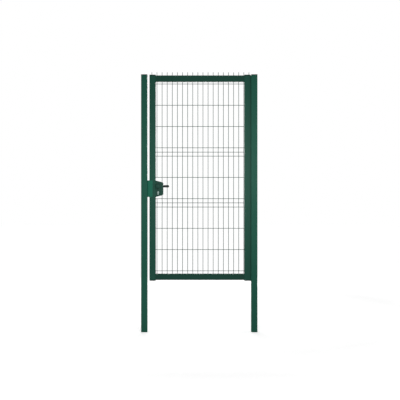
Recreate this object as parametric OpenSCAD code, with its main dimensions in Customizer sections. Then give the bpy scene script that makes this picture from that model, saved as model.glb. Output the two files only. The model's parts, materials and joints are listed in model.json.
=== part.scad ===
// Wicket gate: a green steel leaf with a folded wire panel, hung between two square posts.
// The origin is the centre of the hinge post's foot. +X runs from the latch post to the hinge post,
// +Y runs from the front to the back, where the leaf opens, and +Z is up.

/* [Gateway] */
// Clear width between the two posts
opening_w = 1010; // [900:10:1250]
// Height of the leaf's underside above the post feet
leaf_rise = 497; // [350:1:700]
// Height of the leaf
leaf_h = 2006; // [1850:2:2300]
// Gap between the leaf and the hinge post
hinge_gap = 6; // [5:0.5:8]
// Gap between the leaf and the latch post
latch_gap = 20; // [17:1:22]

/* [Posts] */
// Side of the square post tube
post_size = 60; // [56:1:80]
// Wall of the post tube
post_wall = 2; // [1.5:0.5:4]
// Outer corner radius of the post tube
post_corner = 4; // [3:0.5:6]
// Thickness of the plate that closes the foot of each post
foot_t = 3; // [2:0.5:6]

/* [Leaf frame] */
// Face width of the stiles
stile_w = 60; // [52:1:70]
// Face height of the rails
rail_h = 60; // [40:1:70]
// Depth of the frame tube
frame_d = 40; // [36:1:50]
// Wall of the frame tube
frame_wall = 2; // [1.5:0.5:3]
// Outer corner radius of the frame tube
frame_corner = 3; // [2.5:0.5:5]

/* [Caps] */
// Thickness of a cap above its tube
cap_t = 8; // [3:0.5:12]
// Depth of the plug that a cap pushes into its tube
plug_h = 16; // [8:1:30]
// Clearance between a plug and its tube
plug_gap = 0.2; // [0.1:0.1:0.5]

/* [Wire panel] */
// Diameter of the round wire
wire_d = 5; // [4:0.5:6]
// Spacing of the upright wires
wire_pitch = 50; // [40:1:60]
// Distance from the leaf's hinge edge to the first upright wire
wire_edge = 13; // [12:1:20]
// Length of the cross wires past the outer uprights
wire_tail = 8; // [5:1:8]
// Length of the spikes above the top cross wire
spike_h = 33; // [20:1:40]
// Height from the leaf's underside to the lowest cross wire
panel_rise = 11; // [6:1:14]
// Drop from the top of the leaf to the top cross wire
panel_drop = 3; // [0:1:6]
// Half the height of a fold
fold_half = 41; // [35:1:45]
// Depth of a fold
fold_depth = 28; // [20:1:28]
// Share of the wire's thickness that a weld presses together
weld_share = 0.15; // [0.1:0.05:0.3]

/* [Hinges] */
// Radius of the hinge barrels
barrel_r = 10; // [9:0.5:12]
// Radius of the hinge pins
pin_r = 6; // [5:0.5:7]
// Running clearance round a hinge pin
pin_gap = 0.08; // [0.05:0.01:0.1]
// Length of each half of a hinge
barrel_h = 60; // [45:1:80]
// Distance from the leaf's ends to the middle of a hinge
hinge_inset = 205; // [180:5:240]
// Thickness of the weld plates
wing_t = 3; // [2:0.5:3]
// Width of the weld plates on the stile and on the post
wing_w = 26; // [20:1:32]

/* [Closing strip] */
// Width of the strip's flange in front of the hinge gap
strip_w = 8; // [7:1:12]
// Thickness of the strip
strip_t = 2; // [1.5:0.5:3]
// Depth of the strip's leg on the post
strip_leg = 10; // [8:1:12]
// Gap between the strip and the front of the leaf
strip_gap = 5.5; // [5:0.5:6]

/* [Lock] */
// Height of the lock case at the stile
case_h = 160; // [155:1:165]
// Width of the lock case
case_w = 74; // [70:1:80]
// Depth of the lock case
case_d = 38; // [34:1:39]
// Drop of the case's top edge and rise of its lower edge towards the free side
case_slope = 19; // [10:1:22]
// Radius of the case's free corners
case_round = 12; // [6:1:16]
// Wall of the case
case_wall = 3; // [2:0.5:4]
// Height of the case's underside above the cross wire below it
case_rise = 17; // [12:1:22]
// Distance from the stile to the lever spindle and the key cylinder
backset = 25; // [25:0.5:28]
// Height of the spindle above the case's underside
spindle_rise = 105; // [102:1:110]
// Height of the latch bolt's middle above the case's underside
bolt_rise = 75; // [73:1:78]
// Height of the key cylinder's barrel above the case's underside
key_rise = 45; // [43:1:47]
// Height of the dead bolt's middle above the case's underside
dead_rise = 32; // [28:1:34]

/* [Bolts] */
// Thickness of both bolts
bolt_t = 12; // [10:1:14]
// Height of the latch bolt
bolt_h = 20; // [16:1:22]
// Reach of the latch bolt past the inner face of the latch post
bolt_throw = 7; // [5:1:8]
// Height of the dead bolt
dead_h = 24; // [20:1:26]
// Clearance round a bolt in its openings
bolt_gap = 0.5; // [0.3:0.1:1]
// Thickness of the faceplate on the latch stile
plate_t = 3; // [2:0.5:4]
// Width of the faceplate
plate_w = 24; // [20:1:28]
// Height of the faceplate past each end of the case
plate_over = 5; // [0:1:12]

/* [Keep] */
// Thickness of the bent keep
keep_t = 3; // [2:0.5:4]
// Width of the keep's front flange
keep_w = 51; // [44:1:56]
// Gap between the keep's flange and the front of the latch stile
stop_gap = 1; // [0.5:0.5:3]
// Depth of the keep's leg on the post, behind the flange
keep_leg = 36; // [34:1:38]
// Room round the bolts in the keep and in the post
keep_gap = 2; // [1:0.5:2]

/* [Lever and knob] */
// Radius of the roses
rose_r = 24; // [22:1:25]
// Thickness of the roses
rose_t = 8; // [6:1:10]
// Radius of the necks of the lever and the knob
neck_r = 9; // [8:0.5:10]
// Running clearance round the lever's neck in its rose
neck_gap = 0.3; // [0.2:0.1:0.5]
// Distance from the case to the middle of the lever's arm
lever_stand = 43; // [36:1:50]
// Length of the lever from the spindle to the end of its tip
lever_l = 104; // [85:1:120]
// Radius of the lever's arm
lever_r = 11.5; // [9:0.5:12]
// Radius of the lever's tip
tip_r = 12; // [10:0.5:13]
// Length of the lever's thicker end
tip_l = 30; // [20:1:40]
// Side of the square spindle
spindle_s = 8; // [7:1:9]
// Clearance between the spindle and the lever's socket
spindle_gap = 0.1; // [0.05:0.05:0.3]
// Radius of the fixed knob
knob_r = 21; // [18:1:25]
// Thickness of the knob's head
knob_t = 20; // [16:1:26]
// Distance from the case to the front of the knob
knob_stand = 54; // [46:1:64]
// Radius of the knob's rounded edges
knob_round = 8; // [4:1:9]

/* [Key cylinder] */
// Radius of the cylinder's barrel
key_r = 8.5; // [8:0.5:9]
// Width of the cylinder's lower lobe
lobe_w = 10; // [9:0.5:11]
// Distance from the barrel's axis to the foot of the lobe
lobe_l = 24.5; // [22:0.5:26]
// Reach of the cylinder past the front and the back of the case
key_proud = 3; // [1:0.5:5]

/* [Hidden] */

$fn = 48;

// Finishes
POST_GREEN = "#26594a";
FRAME_GREEN = "#24503f";
RAIL_GREEN = "#1f4436";
KEEP_GREEN = "#246b52";
WIRE_GREEN = "#3a5a50";
CASE_GREEN = "#3a5f54";
CAP_GREEN = "#1c3a30";
LEVER_BLACK = "#26292a";
BRIGHT_STEEL = "#b4b7ba";

// Gateway and leaf outline
post_face_x = -post_size / 2;
latch_face_x = post_face_x - opening_w;
latch_post_x = latch_face_x - post_size / 2;
leaf_x1 = post_face_x - hinge_gap;
leaf_x0 = latch_face_x + latch_gap;
stile_x0 = leaf_x0 + stile_w;
stile_x1 = leaf_x1 - stile_w;
leaf_z0 = leaf_rise;
leaf_z1 = leaf_rise + leaf_h;
post_h = leaf_z1;
// The leaf's frame is flush with the backs of the posts.
rear_y = post_size / 2;
front_y = rear_y - frame_d;
mid_y = (front_y + rear_y) / 2;

// Wire panel. A bar of square section has the same area as the round wire.
bar = wire_d * sqrt(PI) / 2;
cross_y = rear_y + bar / 2;
upright_y = cross_y + bar * (1 - weld_share);
upright_count = floor((leaf_x1 - leaf_x0 - 2 * wire_edge) / wire_pitch) + 1;
function upright_x(i) = leaf_x1 - wire_edge - i * wire_pitch;
// Cells between one fold and the next, from the bottom
BAY_CELLS = [3, 2, 3];
fold_count = len(BAY_CELLS) + 1;
function cells_below(i) = i == 0 ? 0 : BAY_CELLS[i - 1] + cells_below(i - 1);
cell_h = (leaf_h - panel_rise - panel_drop - fold_count * 2 * fold_half) / cells_below(fold_count - 1);
function fold_z(i) = leaf_z0 + panel_rise + fold_half * (2 * i + 1) + cells_below(i) * cell_h;
panel_z0 = fold_z(0) - fold_half;
panel_z1 = fold_z(fold_count - 1) + fold_half;

// Hinge axis, behind the gap between the leaf and the hinge post
axis_x = post_face_x - hinge_gap / 2;
axis_y = rear_y + barrel_r;
top_hinge_z = leaf_z1 - hinge_inset;
bottom_hinge_z = leaf_z0 + hinge_inset;
barrel_play = 0.3;
pin_cover = 3;

// Lock, in the cell above the fold below the leaf's middle
lock_cell_z = fold_z(1) + fold_half;
case_z0 = lock_cell_z + case_rise;
case_front_y = mid_y - case_d / 2;
case_back_y = mid_y + case_d / 2;
spindle_x = stile_x0 + backset;
spindle_z = case_z0 + spindle_rise;
bolt_z = case_z0 + bolt_rise;
key_z = case_z0 + key_rise;
dead_z = case_z0 + dead_rise;
bolt_tip_x = latch_face_x - bolt_throw;
bolt_tail = 10;
bolt_nose = 9;
spindle_bore_r = spindle_s / 2 * sqrt(2) + neck_gap;
profile_gap = 0.2;
rose_room = 3;
neck_y = case_back_y + neck_gap;
socket_l = 28;
socket_end = 2;

// Keep, on the inner face of the latch post
keep_front_y = front_y - stop_gap - keep_t;

function along(a, b) = (b - a) / norm(b - a);
function across(v) = [-v[1], v[0]];

// Points of the arc of radius r that rounds the corner b between a and c
function corner(a, b, c, r) =
  let (
    u = along(b, a),
    v = along(b, c),
    half = acos(u * v) / 2,
    centre = b + along([0, 0], u + v) * r / sin(half),
    from = b + u * r / tan(half) - centre,
    to = b + v * r / tan(half) - centre,
    turn = atan2(from[0] * to[1] - from[1] * to[0], from * to)
  )
  [for (i = [0:6]) let (t = turn * i / 6)
    centre + [from[0] * cos(t) - from[1] * sin(t), from[0] * sin(t) + from[1] * cos(t)]];

// Offset of point i of the open path p, to its left by d, with mitred corners
function shifted(p, i, d) =
  let (
    before = along(p[max(i - 1, 0)], p[max(i, 1)]),
    after = along(p[min(i, len(p) - 2)], p[min(i + 1, len(p) - 1)]),
    m = across(before) + across(after)
  )
  p[i] + 2 * d * m / (m * m);

module rounded_rect(w, h, r) {
  square([w - 2 * r, h], center = true);
  square([w, h - 2 * r], center = true);
  for (x = [-1, 1], y = [-1, 1]) translate([x * (w / 2 - r), y * (h / 2 - r)]) circle(r);
}

// Box between two corners
module block(low, high) {
  translate(low) cube(high - low);
}

// Extrusion along +X of a section drawn in Y and Z
module along_x(length) {
  rotate([90, 0, 90]) linear_extrude(length) children();
}

// Extrusion along +Y of a section drawn in X and Z, from y0 to y1
module along_y(y0, y1) {
  translate([0, y1, 0]) rotate([90, 0, 0]) linear_extrude(y1 - y0) children();
}

module tube_section(w, h, wall, r) {
  difference() {
    rounded_rect(w, h, r);
    rounded_rect(w - 2 * wall, h - 2 * wall, r - wall + 0.5);
  }
}

// Cap with its plate on z = 0 and its plug below
module cap(w, d, wall, r) {
  linear_extrude(cap_t) rounded_rect(w, d, r);
  plug_w = w - 2 * (wall + plug_gap);
  plug_d = d - 2 * (wall + plug_gap);
  translate([0, 0, -plug_h]) linear_extrude(plug_h) rounded_rect(plug_w, plug_d, r - wall + 0.5);
}

module post(x) {
  translate([x, 0, 0]) {
    linear_extrude(foot_t) rounded_rect(post_size, post_size, post_corner);
    translate([0, 0, foot_t]) linear_extrude(post_h - cap_t - foot_t)
      tube_section(post_size, post_size, post_wall, post_corner);
  }
}

module hinge_post() {
  color(POST_GREEN) post(0);
}

module hinge_post_cap() {
  color(CAP_GREEN) translate([0, 0, post_h - cap_t]) cap(post_size, post_size, post_wall, post_corner);
}

module latch_post() {
  color(POST_GREEN) difference() {
    post(latch_post_x);
    bolt_openings(latch_face_x - 2 * post_wall, latch_face_x + 1, keep_gap);
  }
}

module latch_post_cap() {
  color(CAP_GREEN) translate([latch_post_x, 0, post_h - cap_t])
    cap(post_size, post_size, post_wall, post_corner);
}

// Openings for both bolts, from x0 to x1, with the given room round each bolt
module bolt_openings(x0, x1, room) {
  for (b = [[bolt_z, bolt_h], [dead_z, dead_h]])
    block([x0, mid_y - bolt_t / 2 - room, b[0] - b[1] / 2 - room],
          [x1, mid_y + bolt_t / 2 + room, b[0] + b[1] / 2 + room]);
}

module keep_plate() {
  color(KEEP_GREEN) difference() {
    union() {
      block([latch_face_x, keep_front_y, case_z0],
            [latch_face_x + keep_t, keep_front_y + keep_leg, case_z0 + case_h]);
      block([latch_face_x, keep_front_y, case_z0],
            [latch_face_x + keep_w, keep_front_y + keep_t, case_z0 + case_h]);
    }
    bolt_openings(latch_face_x - 1, latch_face_x + keep_t + 1, keep_gap);
  }
}

// Angle on the inner face of the hinge post, in front of the hinge gap
module closing_strip() {
  x = post_face_x;
  y = front_y - strip_gap;
  color(RAIL_GREEN) translate([0, 0, leaf_z0]) linear_extrude(leaf_h - cap_t) polygon([
    [x, y - strip_leg], [x - strip_t, y - strip_leg], [x - strip_t, y - strip_t],
    [x - strip_w, y - strip_t], [x - strip_w, y], [x, y]
  ]);
}

module stile(x) {
  translate([x, mid_y, leaf_z0 + cap_t]) linear_extrude(leaf_h - 2 * cap_t)
    tube_section(stile_w, frame_d, frame_wall, frame_corner);
}

module hinge_stile() {
  color(FRAME_GREEN) stile(leaf_x1 - stile_w / 2);
}

module latch_stile() {
  color(FRAME_GREEN) difference() {
    stile(leaf_x0 + stile_w / 2);
    bolt_openings(leaf_x0 - 1, stile_x0 + 1, bolt_gap);
  }
}

module rail(z) {
  translate([stile_x0, mid_y, z + rail_h / 2]) along_x(stile_x1 - stile_x0)
    tube_section(frame_d, rail_h, frame_wall, frame_corner);
}

module top_rail() {
  color(RAIL_GREEN) rail(leaf_z1 - cap_t - rail_h);
}

module bottom_rail() {
  color(RAIL_GREEN) rail(leaf_z0 + cap_t);
}

module stile_cap(x, z, side) {
  color(CAP_GREEN) translate([x, mid_y, z]) mirror([0, 0, side < 0 ? 1 : 0])
    cap(stile_w, frame_d, frame_wall, frame_corner);
}

module hinge_stile_top_cap() {
  stile_cap(leaf_x1 - stile_w / 2, leaf_z1 - cap_t, 1);
}

module hinge_stile_bottom_cap() {
  stile_cap(leaf_x1 - stile_w / 2, leaf_z0 + cap_t, -1);
}

module latch_stile_top_cap() {
  stile_cap(leaf_x0 + stile_w / 2, leaf_z1 - cap_t, 1);
}

module latch_stile_bottom_cap() {
  stile_cap(leaf_x0 + stile_w / 2, leaf_z0 + cap_t, -1);
}

// Centre line of an upright wire in Y and Z, folded to the back at each fold
WIRE_PATH = concat(
  [[upright_y, panel_z0 - bar / 2]],
  [for (i = [0:fold_count - 1], s = [-1, 0, 1])
    [upright_y + (s == 0 ? fold_depth : 0), fold_z(i) + s * fold_half]],
  [[upright_y, panel_z1 + spike_h]]
);

module upright_wire() {
  last = len(WIRE_PATH) - 1;
  along_x(bar) polygon(concat(
    [for (i = [0:last]) shifted(WIRE_PATH, i, bar / 2)],
    [for (i = [last:-1:0]) shifted(WIRE_PATH, i, -bar / 2)]
  ));
}

module cross_wire(y, z) {
  block([upright_x(upright_count - 1) - wire_tail, y - bar / 2, z - bar / 2],
        [upright_x(0) + wire_tail, y + bar / 2, z + bar / 2]);
}

module wire_panel() {
  color(WIRE_GREEN) difference() {
    union() {
      for (i = [0:upright_count - 1]) translate([upright_x(i) - bar / 2, 0, 0]) upright_wire();
      for (i = [0:fold_count - 1], s = [-1, 0, 1])
        cross_wire(cross_y + (s == 0 ? fold_depth : 0), fold_z(i) + s * fold_half);
      for (i = [0:len(BAY_CELLS) - 1], k = [1:BAY_CELLS[i] - 1])
        cross_wire(cross_y, fold_z(i) + fold_half + k * cell_h);
    }
    // The upright behind the rose is cut out of the lock's cell.
    for (i = [0:upright_count - 1])
      if (abs(upright_x(i) - spindle_x) < rose_r + rose_room)
        block([upright_x(i) - bar, rear_y - 1, lock_cell_z + bar / 2],
              [upright_x(i) + bar, upright_y + bar, lock_cell_z + cell_h - bar / 2]);
  }
}

// Weld plate between the hinge axis and x, flat on the back of the frame or the post
module wing(x, z0, z1) {
  block([min(x, axis_x), rear_y, z0], [max(x, axis_x), rear_y + wing_t, z1]);
}

module pintle(z) {
  color(POST_GREEN) difference() {
    union() {
      translate([axis_x, axis_y, z - barrel_h]) cylinder(h = barrel_h, r = barrel_r);
      wing(post_face_x + wing_w, z - barrel_h, z);
    }
    translate([axis_x, axis_y, z - barrel_h + pin_cover]) cylinder(h = barrel_h, r = pin_r);
  }
}

module pin(z) {
  color(BRIGHT_STEEL) translate([axis_x, axis_y, z - barrel_h + pin_cover])
    cylinder(h = 2 * (barrel_h - pin_cover), r = pin_r);
}

module knuckle(z) {
  color(FRAME_GREEN) difference() {
    union() {
      translate([axis_x, axis_y, z + barrel_play]) cylinder(h = barrel_h, r = barrel_r);
      wing(leaf_x1 - wing_w, z + barrel_play, z + barrel_play + barrel_h);
    }
    translate([axis_x, axis_y, z]) cylinder(h = barrel_h - pin_cover + barrel_play, r = pin_r + pin_gap);
  }
}

module top_pintle() {
  pintle(top_hinge_z);
}

module top_pin() {
  pin(top_hinge_z);
}

module top_knuckle() {
  knuckle(top_hinge_z);
}

module bottom_pintle() {
  pintle(bottom_hinge_z);
}

module bottom_pin() {
  pin(bottom_hinge_z);
}

module bottom_knuckle() {
  knuckle(bottom_hinge_z);
}

// Side outline of the lock case in X and Z, drawn in by t
module case_outline(t) {
  x0 = stile_x0 + t;
  x1 = stile_x0 + case_w - t;
  low = [x1, case_z0 + case_slope + t];
  high = [x1, case_z0 + case_h - case_slope - t];
  foot = [x0, case_z0 + t];
  head = [x0, case_z0 + case_h - t];
  polygon(concat([foot], corner(foot, low, high, case_round - t), corner(low, high, head, case_round - t),
                 [head]));
}

// Outline of the key cylinder in X and Z, drawn out by room
module key_outline(room) {
  translate([spindle_x, key_z]) {
    circle(key_r + room);
    translate([0, -(lobe_l - lobe_w / 2)]) circle(lobe_w / 2 + room);
    translate([-lobe_w / 2 - room, -(lobe_l - lobe_w / 2)])
      square([lobe_w + 2 * room, lobe_l - lobe_w / 2]);
  }
}

module lock_case() {
  color(CASE_GREEN) difference() {
    along_y(case_front_y, case_back_y) case_outline(0);
    along_y(case_front_y + case_wall, case_back_y - case_wall) case_outline(case_wall);
    along_y(case_front_y - 1, case_back_y + 1) key_outline(profile_gap);
    along_y(mid_y, case_back_y + 1) translate([spindle_x, spindle_z]) circle(spindle_bore_r);
    bolt_openings(stile_x0 - 1, stile_x0 + case_wall + 1, bolt_gap);
  }
}

module faceplate() {
  color(BRIGHT_STEEL) difference() {
    block([leaf_x0 - plate_t, mid_y - plate_w / 2, case_z0 - plate_over],
          [leaf_x0, mid_y + plate_w / 2, case_z0 + case_h + plate_over]);
    bolt_openings(leaf_x0 - plate_t - 1, leaf_x0 + 1, bolt_gap);
  }
}

module key_cylinder() {
  color(BRIGHT_STEEL) along_y(case_front_y - key_proud, case_back_y + key_proud) key_outline(0);
}

// The dead bolt is drawn back, flush with the faceplate.
module dead_bolt() {
  color(BRIGHT_STEEL)
    block([leaf_x0 - plate_t, mid_y - bolt_t / 2, dead_z - dead_h / 2],
          [stile_x0 + bolt_tail, mid_y + bolt_t / 2, dead_z + dead_h / 2]);
}

// The latch bolt's nose is bevelled at the front, so that it rides in as the leaf closes.
module latch_bolt() {
  y0 = mid_y - bolt_t / 2;
  y1 = mid_y + bolt_t / 2;
  color(BRIGHT_STEEL) translate([0, 0, bolt_z - bolt_h / 2]) linear_extrude(bolt_h) polygon([
    [stile_x0 + bolt_tail, y0], [stile_x0 + bolt_tail, y1],
    [bolt_tip_x, y1], [bolt_tip_x, y1 - bolt_t / 4], [bolt_tip_x + bolt_nose, y0]
  ]);
}

// Ring on the case round the spindle, from y0 to y1
module rose(y0, y1, bore_r) {
  along_y(y0, y1) translate([spindle_x, spindle_z]) difference() {
    circle(rose_r);
    circle(bore_r);
  }
}

module front_rose() {
  color(CASE_GREEN) rose(case_front_y - rose_t, case_front_y, neck_r);
}

module back_rose() {
  color(LEVER_BLACK) rose(case_back_y, case_back_y + rose_t, neck_r + neck_gap);
}

// Fixed pull on the front, with its neck in the rose
module front_knob() {
  color(CASE_GREEN) translate([spindle_x, case_front_y, spindle_z]) rotate([90, 0, 0]) {
    cylinder(h = knob_stand - knob_t / 2, r = neck_r);
    translate([0, 0, knob_stand - knob_t]) rotate_extrude() {
      square([knob_r - knob_round, knob_t]);
      translate([0, knob_round]) square([knob_r, knob_t - 2 * knob_round]);
      for (z = [knob_round, knob_t - knob_round]) translate([knob_r - knob_round, z]) intersection() {
        circle(knob_round);
        translate([0, -knob_round]) square(2 * knob_round);
      }
    }
  }
}

// Lever with its neck along Y and its arm along +X
module back_lever() {
  arm_y = case_back_y + lever_stand;
  color(LEVER_BLACK) difference() {
    union() {
      along_y(neck_y, arm_y) translate([spindle_x, spindle_z]) circle(neck_r);
      translate([spindle_x, arm_y, spindle_z]) {
        sphere(lever_r);
        rotate([0, 90, 0]) cylinder(h = lever_l - tip_l, r = lever_r);
        translate([lever_l - tip_l, 0, 0]) rotate([0, 90, 0]) cylinder(h = tip_l - tip_r, r = tip_r);
        translate([lever_l - tip_r, 0, 0]) sphere(tip_r);
      }
    }
    along_y(neck_y - 1, neck_y + socket_l) translate([spindle_x, spindle_z])
      square(spindle_s + 2 * spindle_gap, center = true);
  }
}

module spindle() {
  color(BRIGHT_STEEL) along_y(case_front_y + case_wall, neck_y + socket_l - socket_end)
    translate([spindle_x, spindle_z]) square(spindle_s, center = true);
}

hinge_post();
hinge_post_cap();
latch_post();
latch_post_cap();
keep_plate();
closing_strip();
hinge_stile();
latch_stile();
top_rail();
bottom_rail();
hinge_stile_top_cap();
hinge_stile_bottom_cap();
latch_stile_top_cap();
latch_stile_bottom_cap();
wire_panel();
top_pintle();
top_pin();
top_knuckle();
bottom_pintle();
bottom_pin();
bottom_knuckle();
lock_case();
faceplate();
key_cylinder();
dead_bolt();
latch_bolt();
front_rose();
front_knob();
back_rose();
back_lever();
spindle();
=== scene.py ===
"""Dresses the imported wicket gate: coats, round wires, moulded furniture, welds, screws, light and camera."""

from __future__ import annotations

import json
import logging
import math
from dataclasses import dataclass, field
from enum import Enum
from typing import Iterable

import bmesh
import bpy
from bmesh.types import BMEdge, BMFace, BMVert
from mathutils import Matrix, Vector

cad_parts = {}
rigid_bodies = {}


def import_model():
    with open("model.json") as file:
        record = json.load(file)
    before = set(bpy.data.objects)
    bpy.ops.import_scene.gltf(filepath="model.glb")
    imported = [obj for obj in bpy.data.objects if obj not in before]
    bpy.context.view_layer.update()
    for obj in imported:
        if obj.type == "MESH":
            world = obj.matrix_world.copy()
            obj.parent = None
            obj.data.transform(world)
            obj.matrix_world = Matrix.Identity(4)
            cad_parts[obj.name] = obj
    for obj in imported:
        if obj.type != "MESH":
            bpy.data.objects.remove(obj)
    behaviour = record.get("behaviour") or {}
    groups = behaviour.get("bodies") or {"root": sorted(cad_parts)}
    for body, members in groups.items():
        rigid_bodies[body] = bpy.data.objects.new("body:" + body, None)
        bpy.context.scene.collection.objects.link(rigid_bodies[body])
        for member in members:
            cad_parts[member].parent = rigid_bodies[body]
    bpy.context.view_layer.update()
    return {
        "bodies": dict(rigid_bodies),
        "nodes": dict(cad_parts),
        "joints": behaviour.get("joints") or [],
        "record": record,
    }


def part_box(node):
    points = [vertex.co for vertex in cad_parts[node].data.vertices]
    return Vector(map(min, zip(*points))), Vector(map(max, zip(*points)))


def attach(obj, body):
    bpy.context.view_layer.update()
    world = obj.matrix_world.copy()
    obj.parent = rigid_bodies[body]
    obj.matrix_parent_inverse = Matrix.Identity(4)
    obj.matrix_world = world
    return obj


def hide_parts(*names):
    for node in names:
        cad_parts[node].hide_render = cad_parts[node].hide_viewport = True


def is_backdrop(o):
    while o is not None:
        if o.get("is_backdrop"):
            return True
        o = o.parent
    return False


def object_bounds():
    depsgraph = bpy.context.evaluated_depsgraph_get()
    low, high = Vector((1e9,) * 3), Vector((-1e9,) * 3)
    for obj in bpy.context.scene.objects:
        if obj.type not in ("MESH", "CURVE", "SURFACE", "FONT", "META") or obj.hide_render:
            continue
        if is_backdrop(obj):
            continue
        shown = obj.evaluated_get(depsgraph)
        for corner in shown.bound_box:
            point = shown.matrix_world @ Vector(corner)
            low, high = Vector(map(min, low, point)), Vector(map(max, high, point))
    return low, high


LOG = logging.getLogger("wicket_gate")
SMOOTH_BELOW = math.radians(38.0)  # An edge that turns less than this is shaded smooth.
SOFTEN_ABOVE = math.radians(60.0)  # An edge that turns more than this can be softened.
PARALLEL = 0.999  # Least part of a unit vector along a way that it counts as parallel to.
SAME_PLACE = 1e-5  # Metres between two places that count as one.
DOUBLED = 1e-6  # Metres between two points that are merged.

Colour = tuple[float, float, float]
Point = tuple[float, float, float]
Profile = tuple[tuple[float, float], ...]
Socket = bpy.types.NodeSocket


class Body(str, Enum):
    """Bodies of the gate, as the frame names them."""

    POSTS = "posts"
    LEAF = "leaf"
    LEVER = "lever"
    LATCH = "latch"


class Slot(str, Enum):
    """Material slots of the gate, as the record names them."""

    POST = "post_coat"
    # The frame slot is the post coat made darker: painted shade on the leaf's stiles, welds and hinge halves.
    FRAME = "frame_coat"
    # The rail slot is the post coat made darker: painted shade on the rails and on the closing strip.
    RAIL_PAINTED_SHADE = "rail_coat"
    KEEP = "keep_coat"
    WIRE = "wire_coat"
    CASE = "case_coat"
    CAP = "cap_plastic"
    LEVER = "lever_black"
    LOCK_STEEL = "lock_steel"
    KEY_STEEL = "key_steel"
    PIN_STEEL = "pin_steel"


class Facing(Enum):
    """Ways that a turned shape can face."""

    RIGHT = (1.0, 0.0, 0.0)
    LEFT = (-1.0, 0.0, 0.0)
    BACK = (0.0, 1.0, 0.0)
    FRONT = (0.0, -1.0, 0.0)
    UP = (0.0, 0.0, 1.0)

    @property
    def vector(self) -> Vector:
        """Unit vector of this way."""
        return Vector(self.value)

    @property
    def turn(self) -> Matrix:
        """Rotation that takes a shape drawn along +Z to this way."""
        return turn_to(self.vector)


class Side(Enum):
    """Sides of the leaf, from its middle."""

    LATCH = -1
    HINGE = 1


class End(Enum):
    """Ends of an upright tube, as its nodes name them."""

    TOP = "top"
    BOTTOM = "bottom"


def turn_to(way: Vector) -> Matrix:
    """Rotation that takes a shape drawn along +Z to a way."""
    return Vector((0.0, 0.0, 1.0)).rotation_difference(way).to_matrix().to_4x4()


@dataclass(frozen=True)
class Room:
    """Space that a CAD node fills at rest.

    Args:
        low: Lowest corner.
        high: Highest corner.
    """

    low: Vector
    high: Vector

    @classmethod
    def of(cls, node: str) -> Room:
        """The space of one node of the frame."""
        return cls(*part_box(node))

    @property
    def centre(self) -> Vector:
        """Middle of the space."""
        return (self.low + self.high) / 2

    @property
    def size(self) -> Vector:
        """Width, depth and height of the space."""
        return self.high - self.low


# ---------------------------------------------------------------------------
# Shader nodes
# ---------------------------------------------------------------------------


@dataclass(frozen=True)
class Nodes:
    """A node tree with short ways to add to it.

    Args:
        tree: The tree that is added to.
    """

    tree: bpy.types.NodeTree

    def add(self, kind: str, **values: object) -> bpy.types.Node:
        """Adds a node and sets its properties.

        Args:
            kind: The node's type.
            values: Properties of the node by name.

        Returns:
            The new node.
        """
        node = self.tree.nodes.new(kind)
        for name, value in values.items():
            setattr(node, name, value)
        return node

    def feed(self, socket: Socket, value: Socket | float | Colour) -> None:
        """Links a socket to another, or sets its own value.

        Args:
            socket: The input.
            value: An output, a number or a colour.
        """
        if isinstance(value, Socket):
            self.tree.links.new(value, socket)
        elif isinstance(value, tuple):
            socket.default_value = (*value, 1.0)
        else:
            socket.default_value = value

    def place(self) -> Socket:
        """The place on the object, in metres."""
        return self.add("ShaderNodeTexCoord").outputs["Object"]

    def noise(self, scale: Socket | float, detail: float) -> Socket:
        """Adds a noise texture on object coordinates.

        Args:
            scale: Features a metre.
            detail: Octaves of finer noise.

        Returns:
            The noise, from 0 to 1.
        """
        node = self.add("ShaderNodeTexNoise")
        self.feed(node.inputs["Vector"], self.place())
        self.feed(node.inputs["Scale"], scale)
        self.feed(node.inputs["Detail"], detail)
        return node.outputs["Fac"]

    def fit(self, value: Socket, low: float, high: float, to_low: float,
            to_high: Socket | float) -> Socket:
        """Maps a value from one range to another and clamps it.

        Args:
            value: The value.
            low: Start of its range.
            high: End of its range.
            to_low: Start of the new range.
            to_high: End of the new range.

        Returns:
            The mapped value.
        """
        node = self.add("ShaderNodeMapRange")
        for name, given in (("Value", value), ("From Min", low), ("From Max", high),
                            ("To Min", to_low), ("To Max", to_high)):
            self.feed(node.inputs[name], given)
        return node.outputs["Result"]

    def paired(self, operation: str, a: Socket, b: Socket) -> Socket:
        """Makes one value of two.

        Args:
            operation: The math node's operation.
            a: The first value.
            b: The second value.

        Returns:
            The result.
        """
        node = self.add("ShaderNodeMath", operation=operation)
        self.feed(node.inputs[0], a)
        self.feed(node.inputs[1], b)
        return node.outputs["Value"]

    def mix(self, share: Socket, a: Socket | Colour, b: Colour) -> Socket:
        """Mixes two colours.

        Args:
            share: Share of the second colour.
            a: The first colour.
            b: The second colour.

        Returns:
            The mixed colour.
        """
        node = self.add("ShaderNodeMix", data_type="RGBA")
        first, second = (s for s in node.inputs if s.type == "RGBA")
        self.feed(node.inputs["Factor"], share)
        self.feed(first, a)
        self.feed(second, b)
        return next(s for s in node.outputs if s.type == "RGBA")

    def seen(self) -> Socket:
        """Tells what shows or is mirrored from what only lights the gate.

        Returns:
            1 for the rays of the camera, of mirrors and of glass, else 0.
        """
        path = self.add("ShaderNodeLightPath")
        mirrored = self.paired("MAXIMUM", path.outputs["Is Camera Ray"], path.outputs["Is Glossy Ray"])
        return self.paired("MAXIMUM", mirrored, path.outputs["Is Transmission Ray"])

    def group(self, tree: bpy.types.NodeTree, **values: float) -> bpy.types.Node:
        """Places a group with its own values.

        Args:
            tree: The group.
            values: Its inputs by name.

        Returns:
            The group's node.
        """
        node = self.add("ShaderNodeGroup", node_tree=tree)
        for name, value in values.items():
            node.inputs[name].default_value = value
        return node


def new_material(name: str) -> tuple[bpy.types.Material, Nodes, bpy.types.Node]:
    """Makes a material with one plain shader.

    Args:
        name: Name of the material.

    Returns:
        The material, its nodes and its shader.
    """
    material = bpy.data.materials.new(name)
    material.use_nodes = True
    nodes = Nodes(material.node_tree)
    shader = next(n for n in nodes.tree.nodes if n.bl_idname == "ShaderNodeBsdfPrincipled")
    return material, nodes, shader


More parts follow.
